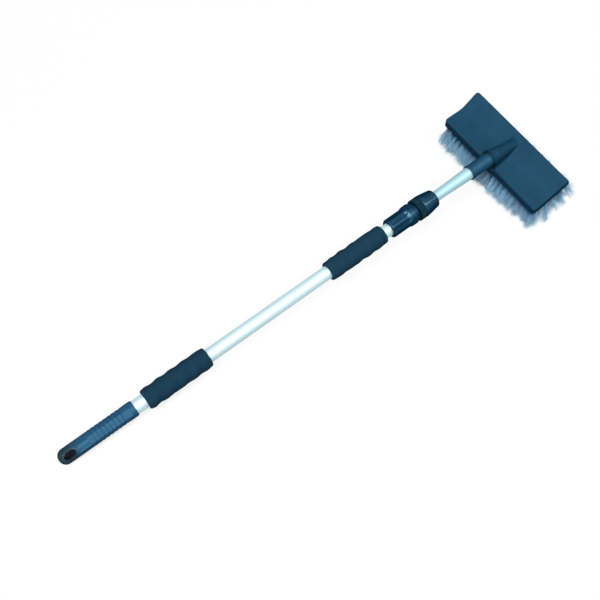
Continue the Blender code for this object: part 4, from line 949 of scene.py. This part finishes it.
def make_floor():
    """Pale floor: white to the eye and to gloss, with the object's faint shadow; grey paper to
    the light that bounces. Where the object covers it closely, as among the bristles, its glow
    goes. Under the handle's end lies a painted shadow, a dark ellipse, for the hang hole."""
    mesh = bpy.data.meshes.new("floor")
    mesh.from_pydata([(x * FLOOR_HALF, y * FLOOR_HALF, FLOOR_LEVEL)
                      for x, y in ((-1, -1), (1, -1), (1, 1), (-1, 1))], [], [(0, 1, 2, 3)])
    item = link(bpy.data.objects.new("floor", mesh))
    material = bpy.data.materials.new("floor_paper")
    material.use_nodes = True
    tree = material.node_tree
    tree.nodes.remove(tree.nodes["Principled BSDF"])
    seen, eye = seen_directly(tree)
    # Painted shadow: in an ellipse under the hang hole the floor's paper and glow are dark
    middle = POLE_START + HOLE_SHADE[0] * ALONG + HOLE_SHADE[1] * SIDE
    from_middle = node(tree, 'ShaderNodeVectorMath', set_operation='SUBTRACT', in0=own_place(tree),
                       in1=(middle[0], middle[1], 0.0)).outputs[0]
    inside = node(tree, 'ShaderNodeVectorMath', set_operation='MULTIPLY', in0=from_middle,
                  in1=(1 / HOLE_SHADE_SIZE[0], 1 / HOLE_SHADE_SIZE[1], 0.0)).outputs[0]
    away = node(tree, 'ShaderNodeVectorMath', set_operation='LENGTH', in0=inside).outputs["Value"]
    lit = spread(tree, away, 0.75, 1.0)
    shade = between(tree, eye, (0.16, 0.165, 0.17, 1), (0.92, 0.92, 0.92, 1))
    shade = between(tree, lit, (0.035, 0.030, 0.038, 1), shade)
    paper = node(tree, 'ShaderNodeBsdfDiffuse', Color=shade).outputs[0]
    glow_colour = between(tree, lit, (0.026, 0.022, 0.030, 1), (1, 1, 1, 1))
    glow = node(tree, 'ShaderNodeEmission', Color=glow_colour, Strength=1.0).outputs[0]
    cover = node(tree, 'ShaderNodeAmbientOcclusion', set_samples=6, Distance=COVER_REACH).outputs["AO"]
    share = maths(tree, 'MULTIPLY', seen, spread(tree, cover, 0.15, 0.45, 0.0, FLOOR_GLOW))
    mix = node(tree, 'ShaderNodeMixShader', in0=share, in1=paper, in2=glow).outputs[0]
    tree.links.new(mix, tree.nodes["Material Output"].inputs["Surface"])
    mesh.materials.append(material)


def stand(item, place, right, up, back):
    """Puts an object in the scene at a place, with its own axes along three directions."""
    turn = Matrix(np.stack((right, up, back), -1).tolist())
    item.matrix_world = Matrix.Translation(Vector(place.tolist())) @ turn.to_4x4()
    return link(item)


def make_sun(name, energy, width, towards):
    """A soft sun of a width in degrees that shines along a direction."""
    sun = bpy.data.lights.new(name, 'SUN')
    sun.energy = energy
    sun.angle = math.radians(width)
    item = link(bpy.data.objects.new(name, sun))
    item.rotation_euler = Vector(towards.tolist()).to_track_quat('-Z', 'X').to_euler()


def make_light():
    """Pale surroundings, a soft sun from over the handle, a low fill from the handle's end, and a
    long softbox over the pole, which lays a streak along whatever is glossy."""
    world = bpy.data.worlds.new("studio")
    bpy.context.scene.world = world
    world.use_nodes = True
    tree = world.node_tree
    tree.nodes.clear()
    seen, _ = seen_directly(tree)
    strength = maths(tree, 'MULTIPLY_ADD', seen, 1 - AMBIENT, AMBIENT)
    back = node(tree, 'ShaderNodeBackground', Color=(1, 1, 1, 1), Strength=strength).outputs[0]
    tree.links.new(back, tree.nodes.new('ShaderNodeOutputWorld').inputs["Surface"])
    make_sun("key", 2.2, 22, 0.33 * ALONG + 0.05 * SIDE - 0.92 * UP)
    make_sun("fill", 0.7, 40, 0.90 * ALONG + 0.05 * SIDE - 0.30 * UP)
    box = bpy.data.lights.new("strip", 'AREA')
    box.shape = 'RECTANGLE'
    box.size, box.size_y = STRIP_LENGTH, STRIP_WIDTH
    box.energy = 34.0
    towards = -(-0.06 * ALONG - 0.40 * SIDE + 0.91 * UP)
    towards /= np.linalg.norm(towards)
    across = np.cross(-towards, ALONG)
    across /= np.linalg.norm(across)
    lengthwise = np.cross(across, -towards)
    place = POLE_START + STRIP_MIDDLE * ALONG - STRIP_AWAY * towards
    stand(bpy.data.objects.new("strip", box), place, lengthwise, across, -towards)


def make_camera():
    """The photograph's camera, fitted in the pole frame from the neck's rim, with its focal length
    in pixels of a square frame."""
    axes = np.stack((ALONG, SIDE, UP))
    place = to_row(np.array(CAMERA_PLACE) + CAMERA_SHIFT * np.array(SHIFT_WAY))
    right, down, ahead = (np.array(v) @ axes for v in (CAMERA_RIGHT, CAMERA_DOWN, CAMERA_AHEAD))
    down = down - ROLL * right
    back = -ahead / np.linalg.norm(ahead)
    up = -down - np.dot(-down, back) * back
    up /= np.linalg.norm(up)
    camera = bpy.data.cameras.new("camera")
    camera.sensor_width = SENSOR
    camera.lens = SENSOR * FOCAL_PIXELS / FRAME_PIXELS
    camera.clip_start, camera.clip_end = 0.05, 50.0
    item = bpy.data.objects.new("camera", camera)
    bpy.context.scene.camera = stand(item, place, np.cross(up, back), up, back)


def main():
    """Sets the stage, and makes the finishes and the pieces."""
    bpy.context.scene.view_settings.view_transform = 'Standard'
    make_camera()
    make_floor()
    make_light()
    moulded = make_moulded_group()
    drawn = make_drawn_group()
    grip = plastic("grip_plastic", moulded, (0.021, 0.090, 0.176), (0.06, 0.16, 0.26), roughness=0.40,
                   grain=700.0, height=0.00002, wear=0.2, level=0.45, fade=(0.03, 0.15),
                   end=((0.022, 0.046, 0.066), 0.018, 0.038))
    lock = plastic("lock_plastic", moulded, (0.0038, 0.031, 0.066), (0.02, 0.08, 0.14), roughness=0.27,
                   grain=500.0, height=0.000002, wear=0.1, level=1.0, fade=(0.02, 0.20))
    nut = plastic("nut_plastic", moulded, (0.0034, 0.029, 0.064), (0.02, 0.08, 0.14), roughness=0.17,
                  grain=500.0, height=0.000001, wear=0.1, level=1.0, fade=(0.05, 0.34))
    neck = plastic("neck_plastic", moulded, (0.013, 0.064, 0.122), (0.03, 0.11, 0.17), roughness=0.40,
                   grain=600.0, height=0.00001, wear=0.2, level=0.45, fade=(0.14, 0.30))
    cover = plastic("head_plastic", moulded, (0.0098, 0.0475, 0.090), (0.024, 0.080, 0.138), roughness=0.50,
                    grain=620.0, height=0.00004, wear=0.3, level=0.14, fade=(0.12, 0.45))
    # A dark, dull plastic: the lock nut's ribbed band in its own dull finish, and painted shade in the head's
    # socket mouth
    collar = plastic("collar_plastic", moulded, (0.005, 0.026, 0.042), (0.02, 0.07, 0.10), roughness=0.45,
                     grain=620.0, height=0.00003, wear=0.2, level=0.2, fade=(0.05, 0.25))
    natural = plastic("natural_plastic", moulded, (0.55, 0.62, 0.64), (0.7, 0.75, 0.76), roughness=0.4)
    tube = aluminium("pole_aluminium", drawn, (0.55, 0.70, 0.72), (0.42, 0.55, 0.60), 0.56)
    inner = aluminium("inner_pole_aluminium", drawn, (0.38, 0.57, 0.62), (0.30, 0.44, 0.51), 0.58)
    steel = aluminium("screw_steel", drawn, (0.60, 0.66, 0.70), (0.42, 0.48, 0.52), 0.3)
    foam = foam_finish()
    hair = bristle_finish()
    make_end_handle(grip)
    make_outer_tube(tube)
    make_foam("lower_foam", LOWER_FOAM_X, "lower_foam_grip", 7, foam)
    make_foam("upper_foam", UPPER_FOAM_X, "upper_foam_grip", 8, foam)
    make_lock_sleeve(lock)
    make_lock_nut(nut, collar)
    make_inner_tube(inner)
    make_neck(neck)
    make_head_shell(cover)
    make_head_boss(cover, collar)
    for row in range(ROWS):
        make_bristle_row(row, hair, cover)
    kept = {"lock_collet": natural, "guide_ring": natural, "tube_plug": lock, "neck_rivet": tube,
            "tuft_plate": cover, **{f"plate_screw_{k}": steel for k in range(1, 5)}}
    for name, material in kept.items():
        slots = frame["nodes"][name].data.materials
        slots.clear()
        slots.append(material)


main()
